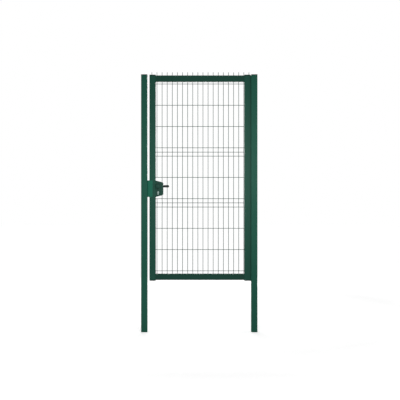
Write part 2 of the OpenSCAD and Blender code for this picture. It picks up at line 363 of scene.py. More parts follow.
@dataclass(frozen=True)
class Effect:
    """A shader node group that several finishes share.

    Args:
        name: Name of the group.
        inputs: Its inputs with their defaults.
        outputs: Its outputs.
    """

    name: str
    inputs: tuple[tuple[str, float], ...]
    outputs: tuple[str, ...]

    def start(self) -> tuple[Nodes, bpy.types.Node, bpy.types.Node]:
        """Makes the empty group.

        Returns:
            Its nodes, its input node and its output node.
        """
        tree = bpy.data.node_groups.new(self.name, "ShaderNodeTree")
        for label, value in self.inputs:
            socket = tree.interface.new_socket(label, in_out="INPUT", socket_type="NodeSocketFloat")
            socket.default_value = value
        for label in self.outputs:
            tree.interface.new_socket(label, in_out="OUTPUT", socket_type="NodeSocketFloat")
        nodes = Nodes(tree)
        return nodes, nodes.add("NodeGroupInput"), nodes.add("NodeGroupOutput")


@dataclass(frozen=True)
class CoatEffect(Effect):
    """Shade, roughness and relief of a sprayed, moulded or brushed surface.

    Args:
        shade_span: Noise at the darkest and at the lightest shade.
        shade_detail: Octaves of finer noise in the shade.
        rough_scale: Patches of roughness a metre.
        rough_span: Noise at the lowest and at the highest roughness.
        rough_detail: Octaves of finer noise in the roughness.
        relief_detail: Octaves of finer noise in the relief.
    """

    shade_span: tuple[float, float] = (0.3, 0.7)
    shade_detail: float = 3.0
    rough_scale: float = 38.0
    rough_span: tuple[float, float] = (0.25, 0.75)
    rough_detail: float = 4.0
    relief_detail: float = 1.5

    def build(self) -> bpy.types.NodeTree:
        """Fills the group.

        Returns:
            The group's tree.
        """
        nodes, source, result = self.start()
        shade = nodes.noise(source.outputs["Cloud"], self.shade_detail)
        rough = nodes.noise(self.rough_scale, self.rough_detail)
        nodes.feed(result.inputs["Shade"], nodes.fit(shade, *self.shade_span, 0.0, 1.0))
        nodes.feed(result.inputs["Rough"], nodes.fit(rough, *self.rough_span, 0.0, 1.0))
        nodes.feed(result.inputs["Height"], nodes.noise(source.outputs["Grain"], self.relief_detail))
        return nodes.tree


@dataclass(frozen=True)
class DustEffect(Effect):
    """Where dust lies: on broken patches of the faces that look up.

    Args:
        slope_span: Z of the normal where dust starts to lie and where it lies fully.
        patch_scale: Patches a metre.
        patch_detail: Octaves of finer noise in the patches.
        patch_span: Noise between the patches and in their middle.
        thinnest: Share of the dust that lies between the patches.
    """

    slope_span: tuple[float, float] = (0.45, 1.0)
    patch_scale: float = 60.0
    patch_detail: float = 5.0
    patch_span: tuple[float, float] = (0.35, 0.7)
    thinnest: float = 0.2

    def build(self) -> bpy.types.NodeTree:
        """Fills the group.

        Returns:
            The group's tree.
        """
        nodes, source, result = self.start()
        normal = nodes.add("ShaderNodeSeparateXYZ")
        nodes.feed(normal.inputs["Vector"], nodes.add("ShaderNodeNewGeometry").outputs["Normal"])
        upward = nodes.fit(normal.outputs["Z"], *self.slope_span, 0.0, source.outputs["Amount"])
        noise = nodes.noise(self.patch_scale, self.patch_detail)
        patches = nodes.fit(noise, *self.patch_span, self.thinnest, 1.0)
        nodes.feed(result.inputs["Mask"], nodes.paired("MULTIPLY", upward, patches))
        return nodes.tree


COAT = CoatEffect("surface_coat", (("Grain", 450.0), ("Cloud", 2.5)), ("Shade", "Rough", "Height"))
DUST = DustEffect("resting_dust", (("Amount", 0.05),), ("Mask",))

# ---------------------------------------------------------------------------
# Finishes
# ---------------------------------------------------------------------------


@dataclass(frozen=True)
class Finish:
    """A coated, moulded or bare metal surface.

    Args:
        colour: Base colour, linear.
        roughness: Lowest and highest roughness.
        specular: Specular level of the shader.
        metallic: 1 for bare metal.
        grain: Features of the relief a metre.
        relief: Depth of the relief in metres.
        cloud: Patches of shade a metre.
        spread: How far the shade moves either way.
        dust: Most dust on faces that look up.
        dust_colour: Colour of the dust.
    """

    colour: Colour
    roughness: tuple[float, float] = (0.38, 0.52)
    specular: float = 0.12
    metallic: float = 0.0
    grain: float = 450.0
    relief: float = 0.00006
    cloud: float = 2.5
    spread: float = 0.06
    dust: float = 0.05
    dust_colour: Colour = (0.36, 0.34, 0.30)

    def shade(self, share: float) -> Colour:
        """The base colour, lighter or darker by a share of itself."""
        red, green, blue = (min(1.0, c * share) for c in self.colour)
        return red, green, blue

    def build(self, name: str, coat: bpy.types.NodeTree, dust: bpy.types.NodeTree) -> bpy.types.Material:
        """Makes the material.

        Args:
            name: Name of the material.
            coat: The group for shade, roughness and relief.
            dust: The group for dust.

        Returns:
            The new material.
        """
        material, nodes, shader = new_material(name)
        shader.inputs["Metallic"].default_value = self.metallic
        shader.inputs["Specular IOR Level"].default_value = self.specular
        skin = nodes.group(coat, Grain=self.grain, Cloud=self.cloud)
        film = nodes.group(dust, Amount=self.dust)
        base = nodes.mix(skin.outputs["Shade"], self.shade(1 - self.spread), self.shade(1 + self.spread))
        nodes.feed(shader.inputs["Base Color"], nodes.mix(film.outputs["Mask"], base, self.dust_colour))
        nodes.feed(shader.inputs["Roughness"], nodes.fit(skin.outputs["Rough"], 0.0, 1.0, *self.roughness))
        bump = nodes.add("ShaderNodeBump")
        nodes.feed(bump.inputs["Distance"], self.relief)
        nodes.feed(bump.inputs["Height"], skin.outputs["Height"])
        nodes.feed(shader.inputs["Normal"], bump.outputs["Normal"])
        return material


MOULDED = (0.42, 0.56)  # Lowest and highest roughness of moulded plastic.
BRUSHED = (0.26, 0.40)  # The same of brushed steel.
FINISHES: dict[Slot, Finish] = {
    Slot.POST: Finish((0.0100, 0.0850, 0.0550)),
    # The frame's green is the post coat darkened: painted shade.
    Slot.FRAME: Finish((0.0095, 0.0680, 0.0450)),
    # The rails' green is the post coat darkened to about 0.56 of it: painted shade.
    Slot.RAIL_PAINTED_SHADE: Finish((0.0068, 0.0475, 0.0314)),
    Slot.KEEP: Finish((0.0085, 0.1250, 0.0760)),
    Slot.WIRE: Finish((0.0095, 0.0640, 0.0450), grain=900.0),
    Slot.CASE: Finish((0.0105, 0.0540, 0.0380)),
    Slot.CAP: Finish((0.0100, 0.0170, 0.0150), MOULDED, grain=1400.0, relief=0.00004),
    Slot.LEVER: Finish((0.0160, 0.0170, 0.0175), MOULDED, 0.2, grain=1600.0, relief=0.00004, spread=0.04),
    Slot.LOCK_STEEL: Finish((0.56, 0.57, 0.58), BRUSHED, 0.5, 1.0, 1800.0, 0.00002),
    Slot.KEY_STEEL: Finish((0.19, 0.25, 0.23), BRUSHED, 0.5, 1.0, 1800.0, 0.00002),
    Slot.PIN_STEEL: Finish((0.50, 0.51, 0.53), BRUSHED, 0.5, 1.0, 1400.0, 0.00002),
}


class Palette:
    """The gate's materials, one for each slot."""

    def __init__(self) -> None:
        """Builds the shared groups and then every finish."""
        coat, dust = COAT.build(), DUST.build()
        self.materials = {slot: finish.build(slot.value, coat, dust) for slot, finish in FINISHES.items()}

    def dress(self, thing: bpy.types.Object, slot: Slot) -> None:
        """Gives an object the material of a slot."""
        thing.data.materials.clear()
        thing.data.materials.append(self.materials[slot])

    def dress_nodes(self, frame: dict) -> None:
        """Gives every node of the frame the material that the record names for it."""
        for part in frame["record"]["subparts"]:
            self.dress(frame["nodes"][part["node"]], Slot(part["material_slot"]))


# ---------------------------------------------------------------------------
# Shapes
# ---------------------------------------------------------------------------


class Combine(Enum):
    """Ways to combine two solids, as the modifier names them."""

    CARVE = "DIFFERENCE"
    JOIN = "UNION"


class Shape:
    """A mesh in the making. Its methods change it and hand it on, so that they can be chained."""

    def __init__(self) -> None:
        """Starts with nothing."""
        self.bm = bmesh.new()

    @classmethod
    def lathe(cls, profile: Iterable[tuple[float, float]], steps: int) -> Shape:
        """Turns a profile about Z.

        Args:
            profile: Radius and height of each point, from pole to pole or once round a ring's section.
            steps: Facets round the axis.

        Returns:
            The turned shape.
        """
        shape = cls()
        verts = [shape.bm.verts.new((radius, 0.0, height)) for radius, height in profile]
        edges = [shape.bm.edges.new(pair) for pair in zip(verts, verts[1:])]
        bmesh.ops.spin(shape.bm, geom=[*verts, *edges], cent=(0, 0, 0), axis=(0, 0, 1), dvec=(0, 0, 0),
                       angle=math.tau, steps=steps, use_merge=True, use_normal_flip=False,
                       use_duplicate=False)
        return shape.sealed()

    @classmethod
    def box(cls, low: Vector, high: Vector) -> Shape:
        """A box between two corners.

        Args:
            low: Lowest corner.
            high: Highest corner.

        Returns:
            The box.
        """
        shape = cls()
        place = Matrix.Translation((low + high) / 2) @ Matrix.Diagonal((*(high - low), 1.0))
        bmesh.ops.create_cube(shape.bm, size=1.0, matrix=place)
        return shape

    @classmethod
    def rod(cls, radius: float, length: float, sides: int) -> Shape:
        """A round bar that stands on z = 0.

        Args:
            radius: Radius of the bar.
            length: Height of the bar.
            sides: Facets round it.

        Returns:
            The bar.
        """
        shape = cls()
        bmesh.ops.create_cone(shape.bm, cap_ends=True, cap_tris=False, segments=sides, radius1=radius,
                              radius2=radius, depth=length, matrix=Matrix.Translation((0, 0, length / 2)))
        return shape

    @classmethod
    def nugget(cls, centre: Vector, radii: Point, rounds: int) -> Shape:
        """A small rounded lump of weld metal.

        Args:
            centre: Its middle.
            radii: Its reach along X, Y and Z.
            rounds: Subdivisions of the ball that it starts from.

        Returns:
            The lump.
        """
        shape = cls()
        bmesh.ops.create_icosphere(shape.bm, subdivisions=rounds, radius=1.0,
                                   matrix=Matrix.Translation(centre) @ Matrix.Diagonal((*radii, 1.0)))
        return shape

    @classmethod
    def slab(cls, outline: Iterable[tuple[float, float]], y0: float, y1: float) -> Shape:
        """A plate with a straight-edged outline.

        Args:
            outline: X and Z of its corners in order.
            y0: Its front.
            y1: Its back.

        Returns:
            The plate.
        """
        shape = cls()
        face = shape.bm.faces.new([shape.bm.verts.new((x, y0, z)) for x, z in outline])
        made = bmesh.ops.extrude_face_region(shape.bm, geom=[face])["geom"]
        bmesh.ops.translate(shape.bm, verts=[g for g in made if isinstance(g, BMVert)], vec=(0, y1 - y0, 0))
        return shape.sealed()

    def ring(self, radius: float, sides: int, place: Matrix) -> Shape:
        """Adds an open ring of edges with a radius and a number of sides, for a bender to take hold of."""
        bmesh.ops.create_circle(self.bm, cap_ends=False, segments=sides, radius=radius, matrix=place)
        return self

    def sealed(self) -> Shape:
        """Merges doubled points and turns the faces outwards.

        Returns:
            This shape.
        """
        bmesh.ops.remove_doubles(self.bm, verts=self.bm.verts, dist=DOUBLED)
        bmesh.ops.recalc_face_normals(self.bm, faces=self.bm.faces)
        return self

    def filled(self) -> Shape:
        """Closes the open rings with faces."""
        bmesh.ops.holes_fill(self.bm, edges=[e for e in self.bm.edges if e.is_boundary], sides=0)
        return self

    def moved(self, to: Iterable[float], facing: Facing = Facing.UP) -> Shape:
        """Turns the shape from +Z to a facing, and then moves its origin to a point.

        Args:
            to: The point.
            facing: The way that the shape's +Z turns to.

        Returns:
            This shape.
        """
        matrix = Matrix.Translation(Vector(to)) @ facing.turn
        bmesh.ops.transform(self.bm, verts=self.bm.verts, matrix=matrix)
        return self

    def faces_up(self) -> list[BMFace]:
        """The level faces that look up."""
        return [f for f in self.bm.faces if f.normal.z > PARALLEL]

    def edges_along(self, facing: Facing) -> list[BMEdge]:
        """The straight edges that run one way.

        Args:
            facing: The way, or the opposite one.

        Returns:
            The edges.
        """
        way = facing.vector
        return [e for e in self.bm.edges
                if abs((e.verts[1].co - e.verts[0].co).normalized().dot(way)) > PARALLEL]

    def sharp_edges(self) -> list[BMEdge]:
        """The edges that can be softened."""
        return [e for e in self.bm.edges if len(e.link_faces) == 2 and e.calc_face_angle(0.0) > SOFTEN_ABOVE]

    def softened(self, width: float, segments: int) -> Shape:
        """Bevels all the sharp edges, with a width and a number of faces across."""
        return self.rounded(self.sharp_edges(), width, segments)

    def rounded(self, edges: Iterable[BMEdge], width: float, segments: int) -> Shape:
        """Bevels the given edges.

        Args:
            edges: The edges.
            width: Width of the bevel.
            segments: Faces across it.

        Returns:
            This shape.
        """
        bmesh.ops.bevel(self.bm, geom=list(edges), offset=width, offset_type="OFFSET", segments=segments,
                        profile=0.5, affect="EDGES", material=-1, clamp_overlap=True)
        return self

    def merged(self, others: Iterable[Shape]) -> Shape:
        """Takes in the faces of other shapes and frees them.

        Args:
            others: The other shapes.

        Returns:
            This shape.
        """
        for other in others:
            mesh = bpy.data.meshes.new("merging")
            other.bm.to_mesh(mesh)
            other.bm.free()
            self.bm.from_mesh(mesh)
            bpy.data.meshes.remove(mesh)
        return self

    def combined(self, others: Iterable[Shape], how: Combine) -> Shape:
        """Combines this closed shape with other closed shapes, and frees them all.

        Args:
            others: The other shapes.
            how: What is done with them.

        Returns:
            A new shape, which takes the place of this one.
        """
        body = self.lone_object("combined_body")
        partners = [other.lone_object("combined_partner") for other in others]
        for partner in partners:
            modifier = body.modifiers.new("Combine", "BOOLEAN")
            modifier.operation = how.value
            modifier.solver = "EXACT"
            modifier.object = partner
        mesh = bpy.data.meshes.new_from_object(body.evaluated_get(bpy.context.evaluated_depsgraph_get()))
        shape = Shape()
        shape.bm.from_mesh(mesh)
        for used in (mesh, body.data, *(partner.data for partner in partners)):
            bpy.data.meshes.remove(used)
        return shape

    def carved(self, tools: Iterable[Shape]) -> Shape:
        """A new shape: this one without what the tools take out."""
        return self.combined(tools, Combine.CARVE)

    def lone_object(self, name: str) -> bpy.types.Object:
        """Makes a linked object from the shape and frees the shape.

        Args:
            name: Name of the object.

        Returns:
            The object.
        """
        mesh = bpy.data.meshes.new(name)
        self.bm.to_mesh(mesh)
        self.bm.free()
        thing = bpy.data.objects.new(name, mesh)
        bpy.context.scene.collection.objects.link(thing)
        return thing

    def piece(self, name: str) -> bpy.types.Object:
        """Turns the shape into a finished object at the origin.

        Args:
            name: Name of the object.

        Returns:
            The object, shaded smooth up to the sharp edges.
        """
        thing = self.sealed().lone_object(name)
        thing.data.shade_smooth()
        thing.data.set_sharp_from_angle(angle=SMOOTH_BELOW)
        evened = thing.modifiers.new("Even normals", "WEIGHTED_NORMAL")
        evened.keep_sharp = True
        return thing


@dataclass
class Bender:
    """Pushes open rings of edges forward and round, as a wire bender does.

    Args:
        shape: The shape that grows from its rings.
        at: Middle of the ring that steers.
        heading: The way in which the rings move.
    """

    shape: Shape
    at: Vector
    heading: Vector

    def __post_init__(self) -> None:
        """Takes hold of the shape's open rings."""
        self.at = self.at.copy()
        self.heading = self.heading.normalized()
        self.rings = list(self.shape.bm.edges)

    @property
    def points(self) -> list[BMVert]:
        """The points of the open rings."""
        return list(dict.fromkeys(v for e in self.rings for v in e.verts))

    def _take(self, made: Iterable[object]) -> None:
        """Takes hold of the open rings among what an operator made."""
        self.rings = [g for g in made if isinstance(g, BMEdge) and g.is_boundary]

    def push(self, length: float, scale: float = 1.0) -> Bender:
        """Moves the rings straight on.

        Args:
            length: How far.
            scale: Size of the new ring as a share of the old one. It is only for a single ring.

        Returns:
            This bender.
        """
        self._take(bmesh.ops.extrude_edge_only(self.shape.bm, edges=self.rings)["geom"])
        bmesh.ops.translate(self.shape.bm, verts=self.points, vec=self.heading * length)
        self.at += self.heading * length
        if scale != 1.0:
            bmesh.ops.scale(self.shape.bm, verts=self.points, vec=(scale, scale, scale),
                            space=Matrix.Translation(-self.at))
        return self

    def bend(self, axis: Vector, radius: float, angle: float, steps: int) -> Bender:
        """Turns the rings about an axis.

        Args:
            axis: The axis that they turn about, by the right-hand rule.
            radius: Radius of the bend.
            angle: How far, in radians.
            steps: Facets along the bend.

        Returns:
            This bender.
        """
        centre = self.at + axis.cross(self.heading) * radius
        made = bmesh.ops.spin(self.shape.bm, geom=[*self.points, *self.rings], cent=centre, axis=axis,
                              dvec=(0, 0, 0), angle=angle, steps=steps, use_merge=False,
                              use_normal_flip=False, use_duplicate=False)
        self._take(made["geom_last"])
        turn = Matrix.Rotation(angle, 3, axis)
        self.at = centre + turn @ (self.at - centre)
        self.heading = turn @ self.heading
        return self


def bent_sheet(line: list[tuple[float, float]], z0: float, z1: float, sheet: float, bend: float) -> Shape:
    """An upright plate bent along a line.

    Args:
        line: Points of its outer face in X and Y. The plate lies to the left of the way from first to last.
        z0: Height of its foot.
        z1: Height of its head.
        sheet: Thickness of the plate.
        bend: Outer radius of its bends.

    Returns:
        The plate.
    """
    shape = Shape()
    verts = [shape.bm.verts.new((x, y, z0)) for x, y in line]
    edges = [shape.bm.edges.new(pair) for pair in zip(verts, verts[1:])]
    way = verts[1].co - verts[0].co
    left = Vector((-way.y, way.x, 0.0))
    made = bmesh.ops.extrude_edge_only(shape.bm, edges=edges)["geom"]
    bmesh.ops.translate(shape.bm, verts=[g for g in made if isinstance(g, BMVert)], vec=(0, 0, z1 - z0))
    corners = [e for e in shape.edges_along(Facing.UP) if len(e.link_faces) == 2]
    shape.rounded(corners, bend, segments=6)
    bmesh.ops.recalc_face_normals(shape.bm, faces=shape.bm.faces)
    first = min(shape.bm.faces, key=lambda f: (f.calc_center_median().xy - verts[0].co.xy).length)
    inward = 1.0 if first.normal.dot(left) > 0 else -1.0
    bmesh.ops.solidify(shape.bm, geom=list(shape.bm.faces), thickness=-inward * sheet)
    return shape.sealed()


@dataclass(frozen=True)
class WeldBead:
    """A rippled weld.

    Args:
        radius: Half its width.
        pitch: Distance from one ripple to the next.
        tip: Radius of its ends, as a share of the half width.
        taper: Radius of its ends, as a share of the crests' radius.
        groove: Radius of the grooves, as a share of the crests' radius.
        sides: Facets round it.
    """

    radius: float
    pitch: float = 0.0022
    tip: float = 0.55
    taper: float = 0.6
    groove: float = 0.86
    sides: int = 8

    def along(self, start: Vector, end: Vector) -> Shape:
        """The weld from one point to another.

        Args:
            start: Where it starts.
            end: Where it ends.

        Returns:
            The weld, closed at both ends.
        """
        way = end - start
        ripples = max(3, round(way.length / self.pitch))
        step = way.length / ripples / 2
        shape = Shape().ring(self.radius * self.tip, self.sides, Matrix.Translation(start) @ turn_to(way))
        bender = Bender(shape, start, way)
        bender.push(step, 1 / self.taper)
        for _ in range(ripples - 1):
            bender.push(step, self.groove).push(step, 1 / self.groove)
        bender.push(step, self.taper)
        return shape.filled().sealed()


class Drive(Enum):
    """Recesses in screw heads: sides and depth."""

    HEX = (6, 0.0022)
    STAR = (12, 0.0018)


@dataclass(frozen=True)
class Screw:
    """A screw head that shows above its plate.

    Args:
        radius: Radius of the head.
        rise: Height of the head.
        drive_radius: Radius of the recess.
        drive: The recess.
        sunk: Depth of the head below the plate's face.
        brim: Height of the head's rounded edge, as a share of its rise.
        shoulder: Middle of the rounded edge, in from its outer and its upper end, as shares of its height.
        crown: Radius at which the edge meets the flat top, as a share of the head's.
        sides: Facets round the head.
    """

    radius: float = 0.0045
    rise: float = 0.0012
    drive_radius: float = 0.0021
    drive: Drive = Drive.HEX
    sunk: float = 0.003
    brim: float = 0.45
    shoulder: tuple[float, float] = (0.4, 0.3)
    crown: float = 0.72
    sides: int = 28

    def head(self, at: Vector, facing: Facing) -> Shape:
        """One head in place.

        Args:
            at: The point of the plate under the head's middle.
            facing: The way out of the plate.

        Returns:
            The head.
        """
        corners, depth = self.drive.value
        edge = self.rise * self.brim
        inward, down = (edge * share for share in self.shoulder)
        dome = Shape.lathe([(0.0, -self.sunk), (self.radius, -self.sunk), (self.radius, self.rise - edge),
                            (self.radius - inward, self.rise - down), (self.radius * self.crown, self.rise),
                            (0.0, self.rise)], self.sides)
        recess = Shape.rod(self.drive_radius, 2 * depth, corners).moved((0, 0, self.rise - depth))
        return dome.carved([recess]).moved(at, facing)


# ---------------------------------------------------------------------------
# Sub-assemblies
# ---------------------------------------------------------------------------


@dataclass
class Assembly:
    """A group of pieces that are built and dressed together.

    Args:
        palette: The gate's materials.
    """

    palette: Palette

    def build(self) -> None:
        """Builds and dresses the pieces, each sub-assembly in its own way."""
        raise NotImplementedError

    def fit(self, shape: Shape, name: str, body: Body, slot: Slot, *replaced: str) -> None:
        """Finishes a piece, dresses it, puts it on its body and reports it.

        Args:
            shape: The piece's shape.
            name: Name of the piece.
            body: The body that it rides on.
            slot: The slot of its finish.
            replaced: Nodes that it stands for.
        """
        thing = shape.piece(name)
        self.palette.dress(thing, slot)
        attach(thing, body.value)
        if replaced:
            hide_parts(*replaced)
        LOG.info("%s: %d faces on %s, %s", name, len(thing.data.polygons), body.value, slot.value)


@dataclass
class TubeCap(Assembly):
    """A moulded cap in the end of an upright tube.

    Args:
        node: The cap's node.
        body: The body that it rides on.
        end: The end of the tube that it closes.
        corner: Corner radius of the tube.
        lid: Height of the lid above the tube.
        edge: Rounding of the lid's outer edge.
        crown: Rise of the middle of the lid.
        middle: Share of the lid's width that the raised middle takes.
        plug_gap: Distance of the plug's sides from the lid's.
    """

    node: str
    body: Body
    end: End = End.TOP
    corner: float = 0.004
    lid: float = 0.008
    edge: float = 0.0016
    crown: float = 0.0006
    middle: float = 0.72
    plug_gap: float = 0.0022

    def _lid(self, size: Vector) -> Shape:
        """The lid on z = 0, with a rounded edge and a raised middle.

        Args:
            size: Size of the whole cap.

        Returns:
            The lid.
        """
        lid = Shape.box(Vector((-size.x / 2, -size.y / 2, 0.0)), Vector((size.x / 2, size.y / 2, self.lid)))
        lid.rounded(lid.edges_along(Facing.UP), self.corner, segments=5)
        brim = dict.fromkeys(e for f in lid.faces_up() for e in f.edges)
        lid.rounded(brim, self.edge, segments=4)
        top = max(lid.faces_up(), key=BMFace.calc_area)
        bmesh.ops.translate(lid.bm, verts=top.verts[:], vec=(0, 0, -self.crown))
        bmesh.ops.inset_region(lid.bm, faces=[top], thickness=self.crown, depth=0.0, use_boundary=True,
                               use_even_offset=True)
        bmesh.ops.scale(lid.bm, verts=top.verts[:], vec=(self.middle, self.middle, 1.0))
        bmesh.ops.translate(lid.bm, verts=top.verts[:], vec=(0, 0, self.crown))
        return lid

    def _plug(self, size: Vector) -> Shape:
        """The plug that goes down into the tube from z = 0.

        Args:
            size: Size of the whole cap.

        Returns:
            The plug.
        """
        x, y = size.x / 2 - self.plug_gap, size.y / 2 - self.plug_gap
        plug = Shape.box(Vector((-x, -y, self.lid - size.z)), Vector((x, y, 0.0)))
        return plug.rounded(plug.edges_along(Facing.UP), self.corner - self.plug_gap, segments=3)

    def build(self) -> None:
        """Builds the cap and turns it over where it closes the tube's foot."""
        room = Room.of(self.node)
        cap = self._lid(room.size).merged([self._plug(room.size)])
        joint_z = room.high.z - self.lid
        if self.end is End.BOTTOM:
            turned = Matrix.Rotation(math.pi, 3, "X")
            bmesh.ops.rotate(cap.bm, verts=cap.bm.verts, cent=(0, 0, 0), matrix=turned)
            joint_z = room.low.z + self.lid
        cap.moved((room.centre.x, room.centre.y, joint_z))
        self.fit(cap, f"moulded_{self.node}", self.body, Slot.CAP, self.node)


@dataclass
class FrameWelds(Assembly):
    """Welds where the rails meet the stiles.

    Args:
        seam: The welds above and below a rail.
        dressed_seam: The dressed welds on the front and the back.
        inset: Distance of a weld's ends from the tube's corners.
    """

    seam: WeldBead = WeldBead(0.0022)
    dressed_seam: WeldBead = WeldBead(0.0012)
    inset: float = 0.004

    def build(self) -> None:
        """Builds a weld on each of the four sides of each rail's ends."""
        beads: list[Shape] = []
        for rail in (Room.of("top_rail"), Room.of("bottom_rail")):
            low, high = rail.low, rail.high
            y0, y1 = low.y + self.inset, high.y - self.inset
            z0, z1 = low.z + self.inset, high.z - self.inset
            for x in (low.x, high.x):
                beads += [self.dressed_seam.along(Vector((x, y, z0)), Vector((x, y, z1)))
                          for y in (low.y, high.y)]
                beads += [self.seam.along(Vector((x, y0, z)), Vector((x, y1, z))) for z in (low.z, high.z)]
        self.fit(Shape().merged(beads), "frame_welds", Body.LEAF, Slot.FRAME)


@dataclass
class WirePanel(Assembly):
    """The folded panel of welded wires on the back of the leaf.

    Args:
        radius: Radius of a coated wire.
        pitch: Distance between upright wires.
        tail: Reach of a cross wire past the outer uprights.
        spike: Reach of an upright above the top cross wire.
        foot: Height of the lowest cross wire above the bottom rail's foot.
        bay_cells: Cells between the folds, from the bottom.
        fold_half: Half the height of a fold.
        fold_depth: Depth of a fold.
        apex_radius: Radius of the bend in the middle of a fold.
        apex_steps: Facets along that bend.
        foot_radius: Radius of the bends at the ends of a fold.
        foot_steps: Facets along those bends.
        pressed: How far a weld presses crossing wires into each other.
        cut_edge: Height of the eased edge at a wire's cut end.
        cut_share: Radius of an upright's cut end, as a share of the wire's.
        spot_reach: Reach of a spot weld along the wires, as a share of their radius.
        spot_depth: Its reach from front to back, as a share of their radius.
        lock_gap: Free width on each side of the lever's rose.
        tack_places: Distances of the tack welds from the middle of a stile.
        tack: Reach of a tack weld along X, Y and Z.
        sides: Facets round a wire.
        room: Space of the panel's node.
    """

    radius: float = 0.0025
    pitch: float = 0.050
    tail: float = 0.008
    spike: float = 0.033
    foot: float = 0.003
    bay_cells: tuple[int, ...] = (3, 2, 3)
    fold_half: float = 0.041
    fold_depth: float = 0.028
    apex_radius: float = 0.010
    apex_steps: int = 6
    foot_radius: float = 0.008
    foot_steps: int = 3
    pressed: float = 0.0008
    cut_edge: float = 0.0004
    cut_share: float = 0.8
    spot_reach: float = 1.3
    spot_depth: float = 0.75
    lock_gap: float = 0.003
    tack_places: tuple[float, ...] = (-0.012, 0.006)
    tack: Point = (0.006, 0.0021, 0.0021)
    sides: int = 12
    room: Room = field(default_factory=lambda: Room.of("wire_panel"))

    @property
    def uprights(self) -> list[float]:
        """The places of the uprights.

        Returns:
            X of each, from the hinge side.
        """
        first = self.room.high.x - self.tail
        count = round((self.room.size.x - 2 * self.tail) / self.pitch) + 1
        return [first - i * self.pitch for i in range(count)]

    @property
    def cross_y(self) -> float:
        """Y of the cross wires that lie on the frame."""
        return self.room.low.y + self.radius

    @property
    def upright_y(self) -> float:
        """Y of the uprights between the folds."""
        return self.cross_y + 2 * self.radius - self.pressed

    @property
    def bottom(self) -> float:
        """Z of the lowest cross wire."""
        return Room.of("bottom_rail").low.z + self.foot

    @property
    def cell(self) -> float:
        """Height of a cell between folds."""
        height = self.room.high.z - self.spike - self.bottom
        return (height - 2 * self.fold_half * (len(self.bay_cells) + 1)) / sum(self.bay_cells)

    @property
    def folds(self) -> list[float]:
        """The places of the folds.

        Returns:
            Z of the middle of each, from the bottom.
        """
        middles = [self.bottom + self.fold_half]
        for cells in self.bay_cells:
            middles.append(middles[-1] + 2 * self.fold_half + cells * self.cell)
        return middles

    def _crossings(self) -> list[tuple[float, float]]:
        """The places of the cross wires.

        Returns:
            Y and Z of each, from the bottom.
        """
        wires: list[tuple[float, float]] = []
        for middle, cells in zip(self.folds, (*self.bay_cells, 0)):
            top = middle + self.fold_half
            wires += [(self.cross_y, middle - self.fold_half), (self.cross_y + self.fold_depth, middle),
                      (self.cross_y, top)]
            wires += [(self.cross_y, top + k * self.cell) for k in range(1, cells)]
        return wires

    def _fold_slope(self) -> float:
        """The slope of a fold's legs.

        Returns:
            The slope in radians, closed in on step by step because the apex lies inside the legs' corner.
        """
        corner_depth = self.fold_depth
        for _ in range(6):
            slope = math.atan2(corner_depth, self.fold_half)
            corner_depth = self.fold_depth + self.apex_radius * (1 / math.cos(slope) - 1)
        return slope

    def _upright_wires(self) -> Shape:
        """Bends all the uprights at once.

        Returns:
            The wires, closed at both ends.
        """
        shape = Shape()
        start = Vector((0.0, self.upright_y, self.bottom - 2 * self.radius))
        for x in self.uprights:
            place = Matrix.Translation(start + Vector((x, 0, 0)))
            shape.ring(self.radius * self.cut_share, self.sides, place)
        bender = Bender(shape, start, Facing.UP.vector)
        bender.push(self.cut_edge)
        self._swell(bender, 1 / self.cut_share)
        slope = self._fold_slope()
        foot_take = self.foot_radius * math.tan(slope / 2)
        apex_take = self.apex_radius * math.tan(slope)
        leg = self.fold_half / math.cos(slope) - foot_take - apex_take
        for middle in self.folds:
            bender.push(middle - self.fold_half - foot_take - bender.at.z)
            bender.bend(Facing.LEFT.vector, self.foot_radius, slope, self.foot_steps)
            bender.push(leg)
            bender.bend(Facing.RIGHT.vector, self.apex_radius, 2 * slope, self.apex_steps)
            bender.push(leg)
            bender.bend(Facing.LEFT.vector, self.foot_radius, slope, self.foot_steps)
        bender.push(self.room.high.z - self.cut_edge - bender.at.z)
        bender.push(self.cut_edge)
        self._swell(bender, self.cut_share)
        return shape.filled()

    def _swell(self, bender: Bender, share: float) -> None:
        """Resizes the open rings of the uprights, each about its own middle.

        Args:
            bender: The bender that holds the rings.
            share: Their new size as a share of the old one.
        """
        points = bender.points
        for x in self.uprights:
            middle = Vector((x, bender.at.y, bender.at.z))
            verts = [v for v in points if abs(v.co.x - x) < self.pitch / 2]
            bmesh.ops.scale(bender.shape.bm, verts=verts, vec=(share, share, 1.0),
                            space=Matrix.Translation(-middle))

    def _cut_out(self, wires: Shape, x: float, z0: float, z1: float) -> None:
        """Cuts a stretch out of one upright.

        Args:
            wires: The uprights.
            x: X of the upright.
            z0: Lower end of the stretch.
            z1: Upper end of the stretch.
        """
        bm = wires.bm
        for z in (z0, z1):
            faces = [f for f in bm.faces if abs(f.calc_center_median().x - x) < self.pitch / 2]
            edges = dict.fromkeys(e for f in faces for e in f.edges)
            verts = dict.fromkeys(v for f in faces for v in f.verts)
            bmesh.ops.bisect_plane(bm, geom=[*faces, *edges, *verts], dist=DOUBLED, plane_co=(x, 0, z),
                                   plane_no=(0, 0, 1))
        gone = [f for f in bm.faces if abs(f.calc_center_median().x - x) < self.pitch / 2
                and z0 < f.calc_center_median().z < z1]
        bmesh.ops.delete(bm, geom=gone, context="FACES")
        wires.filled()

    def _cross_wires(self) -> list[Shape]:
        """The cross wires.

        Returns:
            A straight bar with eased ends for each.
        """
        x0 = self.uprights[-1] - self.tail
        length = self.uprights[0] + self.tail - x0
        places = [(x0, y, z) for y, z in self._crossings()]
        return [Shape.rod(self.radius, length, self.sides).softened(self.cut_edge, segments=1)
                .moved(place, Facing.RIGHT) for place in places]

